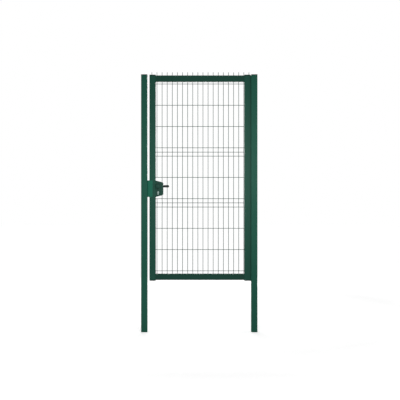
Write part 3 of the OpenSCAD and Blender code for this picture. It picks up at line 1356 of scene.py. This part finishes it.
    def _spot_welds(self) -> list[Shape]:
        """The spot welds.

        Returns:
            A pressed lump for each crossing.
        """
        reach, depth = self.radius * self.spot_reach, self.radius * self.spot_depth
        lift = self.radius - self.pressed / 2
        return [Shape.nugget(Vector((x, y + lift, z)), (reach, depth, reach), rounds=1)
                for y, z in self._crossings() for x in self.uprights]

    def _frame_tacks(self) -> list[Shape]:
        """The tack welds that hold the cross wires to the backs of the stiles.

        Returns:
            A lump for each tack.
        """
        tacks: list[Shape] = []
        for stile in (Room.of("latch_stile"), Room.of("hinge_stile")):
            touching = [z for y, z in self._crossings()
                        if y < self.cross_y + self.radius and stile.low.z < z < stile.high.z]
            places = [Vector((stile.centre.x + dx, stile.high.y, z - self.radius))
                      for z in touching for dx in self.tack_places]
            tacks += [Shape.nugget(place, self.tack, rounds=2) for place in places]
        return tacks

    def build(self) -> None:
        """Builds the wires, leaves out what the lock takes the place of, and tacks them to the frame."""
        wires = self._upright_wires()
        rose = Room.of("back_rose")
        lock_z = self.folds[1] + self.fold_half
        for x in self.uprights:
            if rose.low.x - self.lock_gap < x < rose.high.x + self.lock_gap:
                self._cut_out(wires, x, lock_z + self.radius, lock_z + self.cell - self.radius)
        wires.merged([*self._cross_wires(), *self._spot_welds()])
        self.fit(wires, "panel_wires", Body.LEAF, Slot.WIRE, "wire_panel")
        self.fit(Shape().merged(self._frame_tacks()), "panel_tack_welds", Body.LEAF, Slot.FRAME)


@dataclass
class Hinge(Assembly):
    """A weld-on barrel hinge: the lower half on the post, the upper half on the leaf.

    Args:
        end: The end of the leaf that it hangs.
        barrel: Radius of the barrels.
        chamfer: Chamfer of the barrels' ends.
        hollow: Radius of the hollow in a barrel's end.
        hollow_depth: Depth of that hollow.
        wing: Thickness of the weld plates.
        wing_gap: Distance of a plate's ends from the barrel's.
        wing_edge: Rounding of a plate's edges.
        weld: The welds.
        weld_run: Length of the welds along a plate's ends.
        weld_inset: Distance of those welds from the plate's ends.
        weld_gap: Distance between those welds and the one along the plate's edge.
    """

    end: End
    barrel: float = 0.010
    chamfer: float = 0.0012
    hollow: float = 0.0068
    hollow_depth: float = 0.0008
    wing: float = 0.003
    wing_gap: float = 0.0006
    wing_edge: float = 0.0007
    weld: WeldBead = WeldBead(0.0018)
    weld_run: float = 0.020
    weld_inset: float = 0.001
    weld_gap: float = 0.004

    def _half(self, node: str, side: Side) -> Shape:
        """One half of the hinge.

        Args:
            node: Its node.
            side: The side of the axis on which its weld plate lies.

        Returns:
            The barrel and its plate.
        """
        room = Room.of(node)
        height, depth = room.size.z, self.hollow_depth
        foot = [(0.0, depth), (self.hollow - depth, depth), (self.hollow, 0.0),
                (self.barrel - self.chamfer, 0.0), (self.barrel, self.chamfer)]
        head = [(radius, height - z) for radius, z in reversed(foot)]
        latch_side = side is Side.LATCH
        axis_x = room.high.x - self.barrel if latch_side else room.low.x + self.barrel
        edge_x = room.low.x if latch_side else room.high.x
        barrel = Shape.lathe([*foot, *head], steps=48)
        barrel.moved((axis_x, room.low.y + self.barrel, room.low.z))
        low = Vector((min(edge_x, axis_x), room.low.y, room.low.z + self.wing_gap))
        high = Vector((max(edge_x, axis_x), room.low.y + self.wing, room.high.z - self.wing_gap))
        return barrel.merged([Shape.box(low, high).softened(self.wing_edge, segments=2)])

    def _welds(self, node: str, side: Side) -> Shape:
        """Welds along the outer edge and the ends of a weld plate.

        Args:
            node: The node of the half.
            side: The side of the axis on which its weld plate lies.

        Returns:
            The three welds.
        """
        room = Room.of(node)
        edge_x = room.low.x if side is Side.LATCH else room.high.x
        z0, z1 = room.low.z + self.weld_inset, room.high.z - self.weld_inset
        gap, run = Vector((0, 0, self.weld_gap)), Vector((-side.value * self.weld_run, 0, 0))
        foot, head = Vector((edge_x, room.low.y, z0)), Vector((edge_x, room.low.y, z1))
        return Shape().merged([self.weld.along(foot + gap, head - gap), self.weld.along(foot, foot + run),
                               self.weld.along(head, head + run)])

    def build(self) -> None:
        """Builds both halves and their welds."""
        end = self.end.value
        pintle, knuckle = f"{end}_pintle", f"{end}_knuckle"
        self.fit(self._half(pintle, Side.HINGE), f"{end}_hinge_lower", Body.POSTS, Slot.POST, pintle)
        self.fit(self._half(knuckle, Side.LATCH), f"{end}_hinge_upper", Body.LEAF, Slot.FRAME, knuckle)
        self.fit(self._welds(pintle, Side.HINGE), f"{end}_hinge_post_welds", Body.POSTS, Slot.POST)
        self.fit(self._welds(knuckle, Side.LATCH), f"{end}_hinge_leaf_welds", Body.LEAF, Slot.FRAME)


BOLTS = ("latch_bolt", "dead_bolt")  # The nodes of the lock's bolts.


def bolt_openings(spare: float, x0: float, x1: float) -> list[Shape]:
    """The openings for the bolts.

    Args:
        spare: Clearance round a bolt.
        x0: Where the openings start.
        x1: Where they end.

    Returns:
        A box to cut out for each bolt.
    """
    rooms = [Room.of(node) for node in BOLTS]
    return [Shape.box(Vector((x0, bolt.low.y - spare, bolt.low.z - spare)),
                      Vector((x1, bolt.high.y + spare, bolt.high.z + spare))) for bolt in rooms]


@dataclass
class KeyCylinder(Assembly):
    """The key cylinder, with a plug and a keyway at each end.

    Args:
        lobe: Half the width of the lobe below the barrel.
        edge: Rounding of the cylinder's ends.
        plug: Radius and height of the plug's points, from inside the cylinder outwards.
        keyway: Lowest and highest corners of the boxes that make a keyway.
    """

    lobe: float = 0.005
    edge: float = 0.0004
    plug: Profile = ((0.0, -0.004), (0.0066, -0.004), (0.0066, 0.0001), (0.0063, 0.0004), (0.0058, 0.0004),
                     (0.0, 0.0002))
    keyway: tuple[tuple[Point, Point], ...] = (
        ((-0.0006, -0.0048, -0.003), (0.0006, 0.0036, 0.002)),
        ((0.0002, -0.0030, -0.003), (0.0015, -0.0018, 0.002)),
        ((-0.0015, 0.0002, -0.003), (-0.0002, 0.0014, 0.002)),
    )

    def body(self, spare: float, y0: float, y1: float) -> Shape:
        """The cylinder's body: a barrel over a lobe.

        Args:
            spare: How far its outline is drawn out.
            y0: Where it starts.
            y1: Where it ends.

        Returns:
            The closed shape.
        """
        room = Room.of("key_cylinder")
        radius, lobe = room.size.x / 2, self.lobe + spare
        x, z = room.centre.x, room.high.z - radius
        barrel = Shape.rod(radius + spare, y1 - y0, sides=48).moved((x, y0, z), Facing.BACK)
        foot = Shape.box(Vector((x - lobe, y0, room.low.z - spare)), Vector((x + lobe, y1, z)))
        lower = [e for e in foot.edges_along(Facing.BACK) if e.verts[0].co.z < room.centre.z]
        foot.rounded(lower, lobe - SAME_PLACE, segments=6)  # The two curves stop just short of each other.
        return barrel.combined([foot], Combine.JOIN)

    def build(self) -> None:
        """Builds the body and both plugs."""
        room = Room.of("key_cylinder")
        body = self.body(0.0, room.low.y, room.high.y).softened(self.edge, segments=2)
        self.fit(body, "key_cylinder_body", Body.LEAF, Slot.KEY_STEEL, "key_cylinder")
        plugs: list[Shape] = []
        for y, facing in ((room.low.y, Facing.FRONT), (room.high.y, Facing.BACK)):
            ways = [Shape.box(Vector(low), Vector(high)) for low, high in self.keyway]
            plug = Shape.lathe(self.plug, steps=40).carved(ways)
            plugs.append(plug.moved((room.centre.x, y, room.high.z - room.size.x / 2), facing))
        self.fit(Shape().merged(plugs), "key_cylinder_plugs", Body.LEAF, Slot.KEY_STEEL)


@dataclass
class Lock(Assembly):
    """The surface lock on the leaf, with its faceplate, bolts and key cylinder.

    Args:
        slope: How far the case's top and bottom edges run in towards the free side.
        corner: Radius of the case's free corners.
        edge: Rounding of the case's long edges.
        bore_gap: Clearance of the case round the key cylinder.
        screw: The screws on the back of the case.
        screw_inset: Their distances from the stile's side and from the case's ends.
        plate_corner: Radius of the faceplate's corners.
        plate_edge: Rounding of its edges.
        plate_gap: Its clearance round the bolts.
        plate_screw: Its screws.
        plate_screw_inset: Their distance from its ends.
        bolt_edge: Rounding of the dead bolt's edges.
        latch_edge: Rounding of the latch bolt's edges.
        nose: Radius of the latch bolt's striking edge.
        over: How far a tool reaches past what it cuts.
    """

    slope: float = 0.019
    corner: float = 0.012
    edge: float = 0.0022
    bore_gap: float = 0.0003
    screw: Screw = Screw()
    screw_inset: tuple[float, float] = (0.014, 0.012)
    plate_corner: float = 0.0025
    plate_edge: float = 0.0005
    plate_gap: float = 0.0005
    plate_screw: Screw = Screw(0.0038, 0.0003, 0.0017)
    plate_screw_inset: float = 0.010
    bolt_edge: float = 0.0009
    latch_edge: float = 0.0006
    nose: float = 0.009
    over: float = 0.002

    def _case(self, cylinder: KeyCylinder) -> None:
        """The case: a tapered box with rounded free corners and a hole for the key cylinder.

        Args:
            cylinder: The key cylinder.
        """
        room = Room.of("lock_case")
        low, high = room.low, room.high
        case = Shape.slab([(low.x, low.z), (high.x, low.z + self.slope), (high.x, high.z - self.slope),
                           (low.x, high.z)], low.y, high.y)
        free = [e for e in case.edges_along(Facing.BACK) if e.verts[0].co.x > room.centre.x]
        case.rounded(free, self.corner, segments=8)
        rim = [e for e in case.sharp_edges() if abs(e.verts[0].co.y - e.verts[1].co.y) < SAME_PLACE
               and max(v.co.x for v in e.verts) > low.x + SAME_PLACE]
        case.rounded(rim, self.edge, segments=4)  # The edges against the stile stay sharp.
        bore = cylinder.body(self.bore_gap, low.y - self.over, high.y + self.over)
        self.fit(case.carved([bore]), "lock_case_shell", Body.LEAF, Slot.CASE, "lock_case")

    def _faceplate(self) -> None:
        """The faceplate in the leaf's edge, with its openings and screws."""
        room = Room.of("faceplate")
        plate = Shape.box(room.low, room.high)
        plate.rounded(plate.edges_along(Facing.RIGHT), self.plate_corner, segments=4)
        plate.softened(self.plate_edge, segments=2)
        openings = bolt_openings(self.plate_gap, room.low.x - self.over, room.high.x + self.over)
        self.fit(plate.carved(openings), "lock_faceplate", Body.LEAF, Slot.LOCK_STEEL, "faceplate")
        heads = [self.plate_screw.head(Vector((room.low.x, room.centre.y, z)), Facing.LEFT)
                 for z in (room.low.z + self.plate_screw_inset, room.high.z - self.plate_screw_inset)]
        self.fit(Shape().merged(heads), "faceplate_screws", Body.LEAF, Slot.PIN_STEEL)

    def _bolts(self) -> None:
        """The dead bolt and the latch bolt with its round striking edge."""
        room = Room.of("dead_bolt")
        dead = Shape.box(room.low, room.high).softened(self.bolt_edge, segments=3)
        self.fit(dead, "dead_bolt_bar", Body.LEAF, Slot.LOCK_STEEL, "dead_bolt")
        room = Room.of("latch_bolt")
        latch = Shape.box(room.low, room.high)
        striking = [e for e in latch.edges_along(Facing.UP)
                    if e.verts[0].co.x < room.centre.x and e.verts[0].co.y < room.centre.y]
        latch.rounded(striking, self.nose, segments=5).softened(self.latch_edge, segments=2)
        self.fit(latch, "latch_bolt_bar", Body.LATCH, Slot.LOCK_STEEL, "latch_bolt")

    def _screws(self) -> None:
        """Two screws on the back of the case."""
        room = Room.of("lock_case")
        dx, dz = self.screw_inset
        heads = [self.screw.head(Vector((room.low.x + dx, room.high.y, z)), Facing.BACK)
                 for z in (room.low.z + dz, room.high.z - dz)]
        self.fit(Shape().merged(heads), "lock_case_screws", Body.LEAF, Slot.PIN_STEEL)

    def build(self) -> None:
        """Builds the whole lock."""
        cylinder = KeyCylinder(self.palette)
        self._case(cylinder)
        cylinder.build()
        self._faceplate()
        self._bolts()
        self._screws()


@dataclass
class Rose(Assembly):
    """A ring round a neck, with a stepped and rounded face.

    Args:
        node: The rose's node.
        facing: The way that it faces.
        slot: The slot of its finish.
        bore: Radius of its bore.
        rim: Distance in from the rim and share of the height, for each point of its outer side.
        collar: Distance out from the bore and share of the height, for each point of its inner side.
        screw: The screws in its face.
        screw_sunk: Distance of their plate under the rose's top.
        screw_places: Heights of the screws above the rose's middle.
    """

    node: str
    facing: Facing
    slot: Slot
    bore: float
    rim: Profile = ((0.0, 0.0), (0.0, 0.35), (0.0006, 0.55), (0.0020, 0.72), (0.0046, 0.84))
    collar: Profile = ((0.0050, 0.93), (0.0022, 1.0), (0.0006, 1.0), (0.0, 0.9), (0.0, 0.0))
    screw: Screw = Screw(0.0032, 0.0004, 0.0015, Drive.STAR)
    screw_sunk: float = 0.0012
    screw_places: tuple[float, ...] = ()

    def build(self) -> None:
        """Turns the ring and sets its screws."""
        room = Room.of(self.node)
        radius, height = room.size.x / 2, room.size.y
        rim = [(radius - inward, height * share) for inward, share in self.rim]
        collar = [(self.bore + outward, height * share) for outward, share in self.collar]
        back = self.facing is Facing.BACK
        foot = Vector((room.centre.x, room.low.y if back else room.high.y, room.centre.z))
        ring = Shape.lathe([(self.bore, 0.0), *rim, *collar], steps=64).moved(foot, self.facing)
        self.fit(ring, f"{self.node}_ring", Body.LEAF, self.slot, self.node)
        plate = foot + self.facing.vector * (height - self.screw_sunk)
        heads = [self.screw.head(plate + Vector((0, 0, dz)), self.facing) for dz in self.screw_places]
        if heads:
            self.fit(Shape().merged(heads), f"{self.node}_screws", Body.LEAF, Slot.PIN_STEEL)


@dataclass
class Knob(Assembly):
    """The fixed knob on the front: a waisted neck and a crowned head.

    Args:
        neck: Radius of the neck.
        waist: Change of the neck's radius and distance from the rose, for each point of the neck.
        back: Share of the head's radius and distance from the rose, for each point of the head's back.
        crown: Share of the head's radius and distance in from the knob's end, for each point of its face.
    """

    neck: float
    waist: Profile = ((0.0, 0.0), (-0.0012, 0.006), (-0.0014, 0.014), (0.0006, 0.021))
    back: Profile = ((0.62, 0.0262), (0.86, 0.0296), (0.97, 0.0336), (1.0, 0.0375))
    crown: Profile = ((0.975, 0.0062), (0.88, 0.0030), (0.72, 0.0012), (0.40, 0.0002), (0.0, 0.0))

    def build(self) -> None:
        """Turns the knob."""
        room = Room.of("front_knob")
        radius, reach = room.size.x / 2, room.size.y
        rose = Room.of("front_rose").size.y
        waist = [(self.neck + change, rose + away) for change, away in self.waist]
        back = [(radius * share, rose + away) for share, away in self.back]
        crown = [(radius * share, reach - inward) for share, inward in self.crown]
        knob = Shape.lathe([(0.0, 0.0), (self.neck, 0.0), *waist, *back, *crown], steps=64)
        knob.moved((room.centre.x, room.high.y, room.centre.z), Facing.FRONT)
        self.fit(knob, "front_knob_turned", Body.LEAF, Slot.CASE, "front_knob")


@dataclass
class Lever(Assembly):
    """The lever on the back: a neck, an elbow, an arm and a thicker rounded end.

    Args:
        neck: Radius of the neck.
        neck_step: Length of the neck's first stretch.
        elbow: Radius of the bend.
        arm: Radius of the arm.
        arm_step: Length over which the neck widens to the arm.
        tip: Radius of the thicker end.
        tip_length: Length of the thicker end.
        tip_step: Length over which the arm widens to it.
        round_turns: Angles in degrees at which the rounded end has its rings.
        sides: Facets round the lever.
    """

    neck: float
    neck_step: float = 0.010
    elbow: float = 0.014
    arm: float = 0.0115
    arm_step: float = 0.014
    tip: float = 0.012
    tip_length: float = 0.032
    tip_step: float = 0.005
    round_turns: tuple[float, ...] = (18.0, 36.0, 54.0, 70.0, 82.0)
    sides: int = 24

    def build(self) -> None:
        """Bends the lever from its foot in the rose to its rounded end."""
        room = Room.of("back_lever")
        foot = Vector((Room.of("spindle").centre.x, room.low.y, room.centre.z))
        lever = Shape().ring(self.neck, self.sides, Matrix.Translation(foot) @ Facing.BACK.turn)
        bender = Bender(lever, foot, Facing.BACK.vector)
        bender.push(self.neck_step).push(room.high.y - self.tip - self.elbow - bender.at.y)
        bender.bend(-Facing.UP.vector, self.elbow, math.pi / 2, steps=8)
        bender.push(self.arm_step, self.arm / self.neck)
        bender.push(room.high.x - self.tip_length - bender.at.x)
        bender.push(self.tip_step, self.tip / self.arm)
        bender.push(self.tip_length - self.tip_step - self.tip)
        size, reach = 1.0, 0.0
        for turn in map(math.radians, self.round_turns):
            bender.push(self.tip * math.sin(turn) - reach, math.cos(turn) / size)
            size, reach = math.cos(turn), self.tip * math.sin(turn)
        self.fit(lever.filled(), "back_lever_moulded", Body.LEVER, Slot.LEVER, "back_lever")


@dataclass
class Keep(Assembly):
    """The bent keep on the latch post.

    Args:
        sheet: Thickness of the sheet.
        bend: Outer radius of the bend.
        corner: Radius of the flange's free corners.
        edge: Rounding of the edges.
        gap: Clearance round the bolts.
        over: How far a tool reaches past the sheet.
        screw: The screws.
        screw_inset: Their distance from the keep's ends.
        screw_shift: Their distance behind the keep's middle.
    """

    sheet: float = 0.003
    bend: float = 0.005
    corner: float = 0.004
    edge: float = 0.0005
    gap: float = 0.002
    over: float = 0.002
    screw: Screw = Screw(0.0045, 0.0008)
    screw_inset: float = 0.012
    screw_shift: float = 0.004

    def build(self) -> None:
        """Bends the plate, opens it for the bolts and screws it on."""
        room = Room.of("keep_plate")
        low, high = room.low, room.high
        line = [(low.x, high.y), (low.x, low.y), (high.x, low.y)]
        plate = bent_sheet(line, low.z, high.z, self.sheet, self.bend)
        free = [e for e in plate.edges_along(Facing.BACK) if abs(e.verts[0].co.x - high.x) < SAME_PLACE]
        plate.rounded(free, self.corner, segments=5).softened(self.edge, segments=2)
        inner_x = low.x + self.sheet
        openings = bolt_openings(self.gap, low.x - self.over, inner_x + self.over)
        self.fit(plate.carved(openings), "keep_bent_plate", Body.POSTS, Slot.KEEP, "keep_plate")
        heads = [self.screw.head(Vector((inner_x, room.centre.y + self.screw_shift, z)), Facing.RIGHT)
                 for z in (low.z + self.screw_inset, high.z - self.screw_inset)]
        self.fit(Shape().merged(heads), "keep_screws", Body.POSTS, Slot.PIN_STEEL)


@dataclass
class ClosingStrip(Assembly):
    """The angle on the hinge post that closes the view through the hinge gap.

    Args:
        sheet: Thickness of the angle.
        bend: Outer radius of its bend.
        edge: Rounding of its edges.
        tacks: Number of tack welds on the post.
        tack: Reach of a tack weld along X, Y and Z.
    """

    sheet: float = 0.002
    bend: float = 0.003
    edge: float = 0.0004
    tacks: int = 7
    tack: Point = (0.0016, 0.0016, 0.009)

    def build(self) -> None:
        """Bends the angle and tacks it to the post."""
        room = Room.of("closing_strip")
        low, high = room.low, room.high
        line = [(high.x, low.y), (high.x, high.y), (low.x, high.y)]
        angle = bent_sheet(line, low.z, high.z, self.sheet, self.bend).softened(self.edge, segments=2)
        # The angle and its tacks take the rail's darker green: painted shadow of the hinge gap on the angle.
        self.fit(angle, "closing_angle", Body.POSTS, Slot.RAIL_PAINTED_SHADE, "closing_strip")
        step = room.size.z / self.tacks
        tacks = [Shape.nugget(Vector((high.x, low.y, low.z + (i + 0.5) * step)), self.tack, rounds=2)
                 for i in range(self.tacks)]
        self.fit(Shape().merged(tacks), "closing_angle_tacks", Body.POSTS, Slot.RAIL_PAINTED_SHADE)


# ---------------------------------------------------------------------------
# Studio
# ---------------------------------------------------------------------------


@dataclass(frozen=True)
class Lamp:
    """A soft rectangular lamp with white light.

    Args:
        name: Name of the lamp.
        at: Where it stands.
        to: The point that it faces.
        size: Width and height of its face.
        watts: Its power.
    """

    name: str
    at: Point
    to: Point
    size: tuple[float, float]
    watts: float

    def hang(self) -> None:
        """Puts the lamp in the scene."""
        data = bpy.data.lights.new(self.name, "AREA")
        data.shape = "RECTANGLE"
        data.size, data.size_y = self.size
        data.energy = self.watts
        lamp = bpy.data.objects.new(self.name, data)
        lamp.location = self.at
        lamp.visible_camera = False
        lamp.rotation_euler = (Vector(self.to) - Vector(self.at)).to_track_quat("-Z", "Y").to_euler()
        bpy.context.scene.collection.objects.link(lamp)


@dataclass(frozen=True)
class Studio:
    """The pale floor, the white surroundings, the lamps and the camera.

    Args:
        ambient: Strength of the surroundings where they light the gate.
        white: Strength of the surroundings where they are seen or mirrored.
        floor_size: Reach of the floor.
        floor_colour: Colour of the floor.
        floor_roughness: Roughness of the floor.
        floor_specular: Specular level of the floor's shader.
        floor_glow: What the floor adds where it is seen or mirrored, near and far, so that it looks white.
        glow_centre: Middle of the floor among the lamps.
        glow_reach: Distances from there at which the glow starts and stops to grow.
        lamps: The lamps.
        eye: Where the camera stands.
        sensor: Width of its sensor in millimetres.
        lens: Its focal length in millimetres.
    """

    ambient: float = 0.30
    white: float = 1.0
    floor_size: float = 30.0
    floor_colour: Colour = (0.80, 0.80, 0.80)
    floor_roughness: float = 0.9
    floor_specular: float = 0.1
    floor_glow: tuple[float, float] = (0.40, 0.74)
    glow_centre: Point = (-0.5, 1.3, 0.0)
    glow_reach: tuple[float, float] = (2.4, 3.6)
    lamps: tuple[Lamp, ...] = (
        Lamp("front", (-0.40, -1.75, 1.65), (-0.40, 0.0, 1.65), (0.7, 1.1), 20.0),
        Lamp("low_left", (-2.3, -1.1, 0.8), (-1.1, 0.0, 0.2), (0.6, 0.6), 3.2),
        Lamp("back", (-0.9, 4.2, 2.6), (-0.5, 0.0, 1.2), (3.0, 2.4), 100.0),
        Lamp("right", (2.8, 0.5, 1.8), (0.0, 0.0, 1.2), (1.6, 2.0), 26.0),
        Lamp("left", (-3.9, 0.5, 1.8), (-1.1, 0.0, 1.2), (1.6, 2.0), 26.0),
    )
    eye: Point = (-0.528, -7.03, 1.283)
    sensor: float = 36.0
    lens: float = 64.95

    def _surroundings(self) -> None:
        """White where it is seen or mirrored, and plain soft light elsewhere."""
        world = bpy.data.worlds.new("surroundings")
        world.use_nodes = True
        bpy.context.scene.world = world
        nodes = Nodes(world.node_tree)
        nodes.tree.nodes.clear()
        either = nodes.add("ShaderNodeMixShader")
        nodes.feed(either.inputs["Fac"], nodes.seen())
        for socket, strength in zip(either.inputs[1:], (self.ambient, self.white)):
            light = nodes.add("ShaderNodeBackground")
            nodes.feed(light.inputs["Color"], (1.0, 1.0, 1.0))
            nodes.feed(light.inputs["Strength"], strength)
            nodes.feed(socket, light.outputs["Background"])
        nodes.feed(nodes.add("ShaderNodeOutputWorld").inputs["Surface"], either.outputs["Shader"])

    def _floor(self) -> None:
        """A pale floor that keeps the gate's shadow."""
        shape = Shape()
        middle_x = self.glow_centre[0]
        bmesh.ops.create_grid(shape.bm, x_segments=1, y_segments=1, size=self.floor_size,
                              matrix=Matrix.Translation((middle_x, 0.0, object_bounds()[0][2])))
        floor = shape.lone_object("studio_floor")
        material, nodes, shader = new_material("floor_white")
        nodes.feed(shader.inputs["Base Color"], self.floor_colour)
        nodes.feed(shader.inputs["Roughness"], self.floor_roughness)
        nodes.feed(shader.inputs["Specular IOR Level"], self.floor_specular)
        nodes.feed(shader.inputs["Emission Color"], (1.0, 1.0, 1.0))
        away = nodes.add("ShaderNodeVectorMath", operation="DISTANCE")
        nodes.feed(away.inputs[0], nodes.place())
        away.inputs[1].default_value = self.glow_centre
        glow = nodes.fit(away.outputs["Value"], *self.glow_reach, *self.floor_glow)
        nodes.feed(shader.inputs["Emission Strength"], nodes.paired("MULTIPLY", glow, nodes.seen()))
        floor.data.materials.append(material)
        floor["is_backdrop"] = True

    def _camera(self) -> None:
        """A level camera straight in front of the gate."""
        data = bpy.data.cameras.new("front_camera")
        data.sensor_width = self.sensor
        data.lens = self.lens
        camera = bpy.data.objects.new("front_camera", data)
        camera.location = self.eye
        camera.rotation_euler = (math.pi / 2, 0.0, 0.0)
        bpy.context.scene.collection.objects.link(camera)
        bpy.context.scene.camera = camera

    def build(self) -> None:
        """Sets up the studio."""
        self._surroundings()
        self._floor()
        self._camera()
        for lamp in self.lamps:
            lamp.hang()
        bpy.context.scene.view_settings.view_transform = "Standard"
        LOG.info("studio: %d lamps, camera at %s", len(self.lamps), self.eye)


def sub_assemblies(palette: Palette) -> list[Assembly]:
    """Lists the gate's sub-assemblies.

    Args:
        palette: The gate's materials.

    Returns:
        The sub-assemblies, in the order in which they are built.
    """
    neck, lever_gap, stile_corner = 0.009, 0.0003, 0.003
    post_caps = [TubeCap(palette, f"{post}_cap", Body.POSTS) for post in ("hinge_post", "latch_post")]
    stile_caps = [TubeCap(palette, f"{stile}_{end.value}_cap", Body.LEAF, end, stile_corner)
                  for stile in ("hinge_stile", "latch_stile") for end in End]
    hinges = [Hinge(palette, end) for end in End]
    front_rose = Rose(palette, "front_rose", Facing.FRONT, Slot.CASE, neck)
    back_rose = Rose(palette, "back_rose", Facing.BACK, Slot.LEVER, neck + lever_gap,
                     screw_places=(-0.0155, 0.0155))
    return [*post_caps, *stile_caps, FrameWelds(palette), WirePanel(palette), *hinges, Lock(palette),
            front_rose, Knob(palette, neck), back_rose, Lever(palette, neck), Keep(palette),
            ClosingStrip(palette)]


def main() -> None:
    """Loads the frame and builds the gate's sub-assemblies in order."""
    logging.basicConfig(level=logging.INFO, format="%(name)s: %(message)s")
    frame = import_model()
    palette = Palette()
    palette.dress_nodes(frame)
    Studio().build()
    for assembly in sub_assemblies(palette):
        assembly.build()


if __name__ == "__main__":
    main()
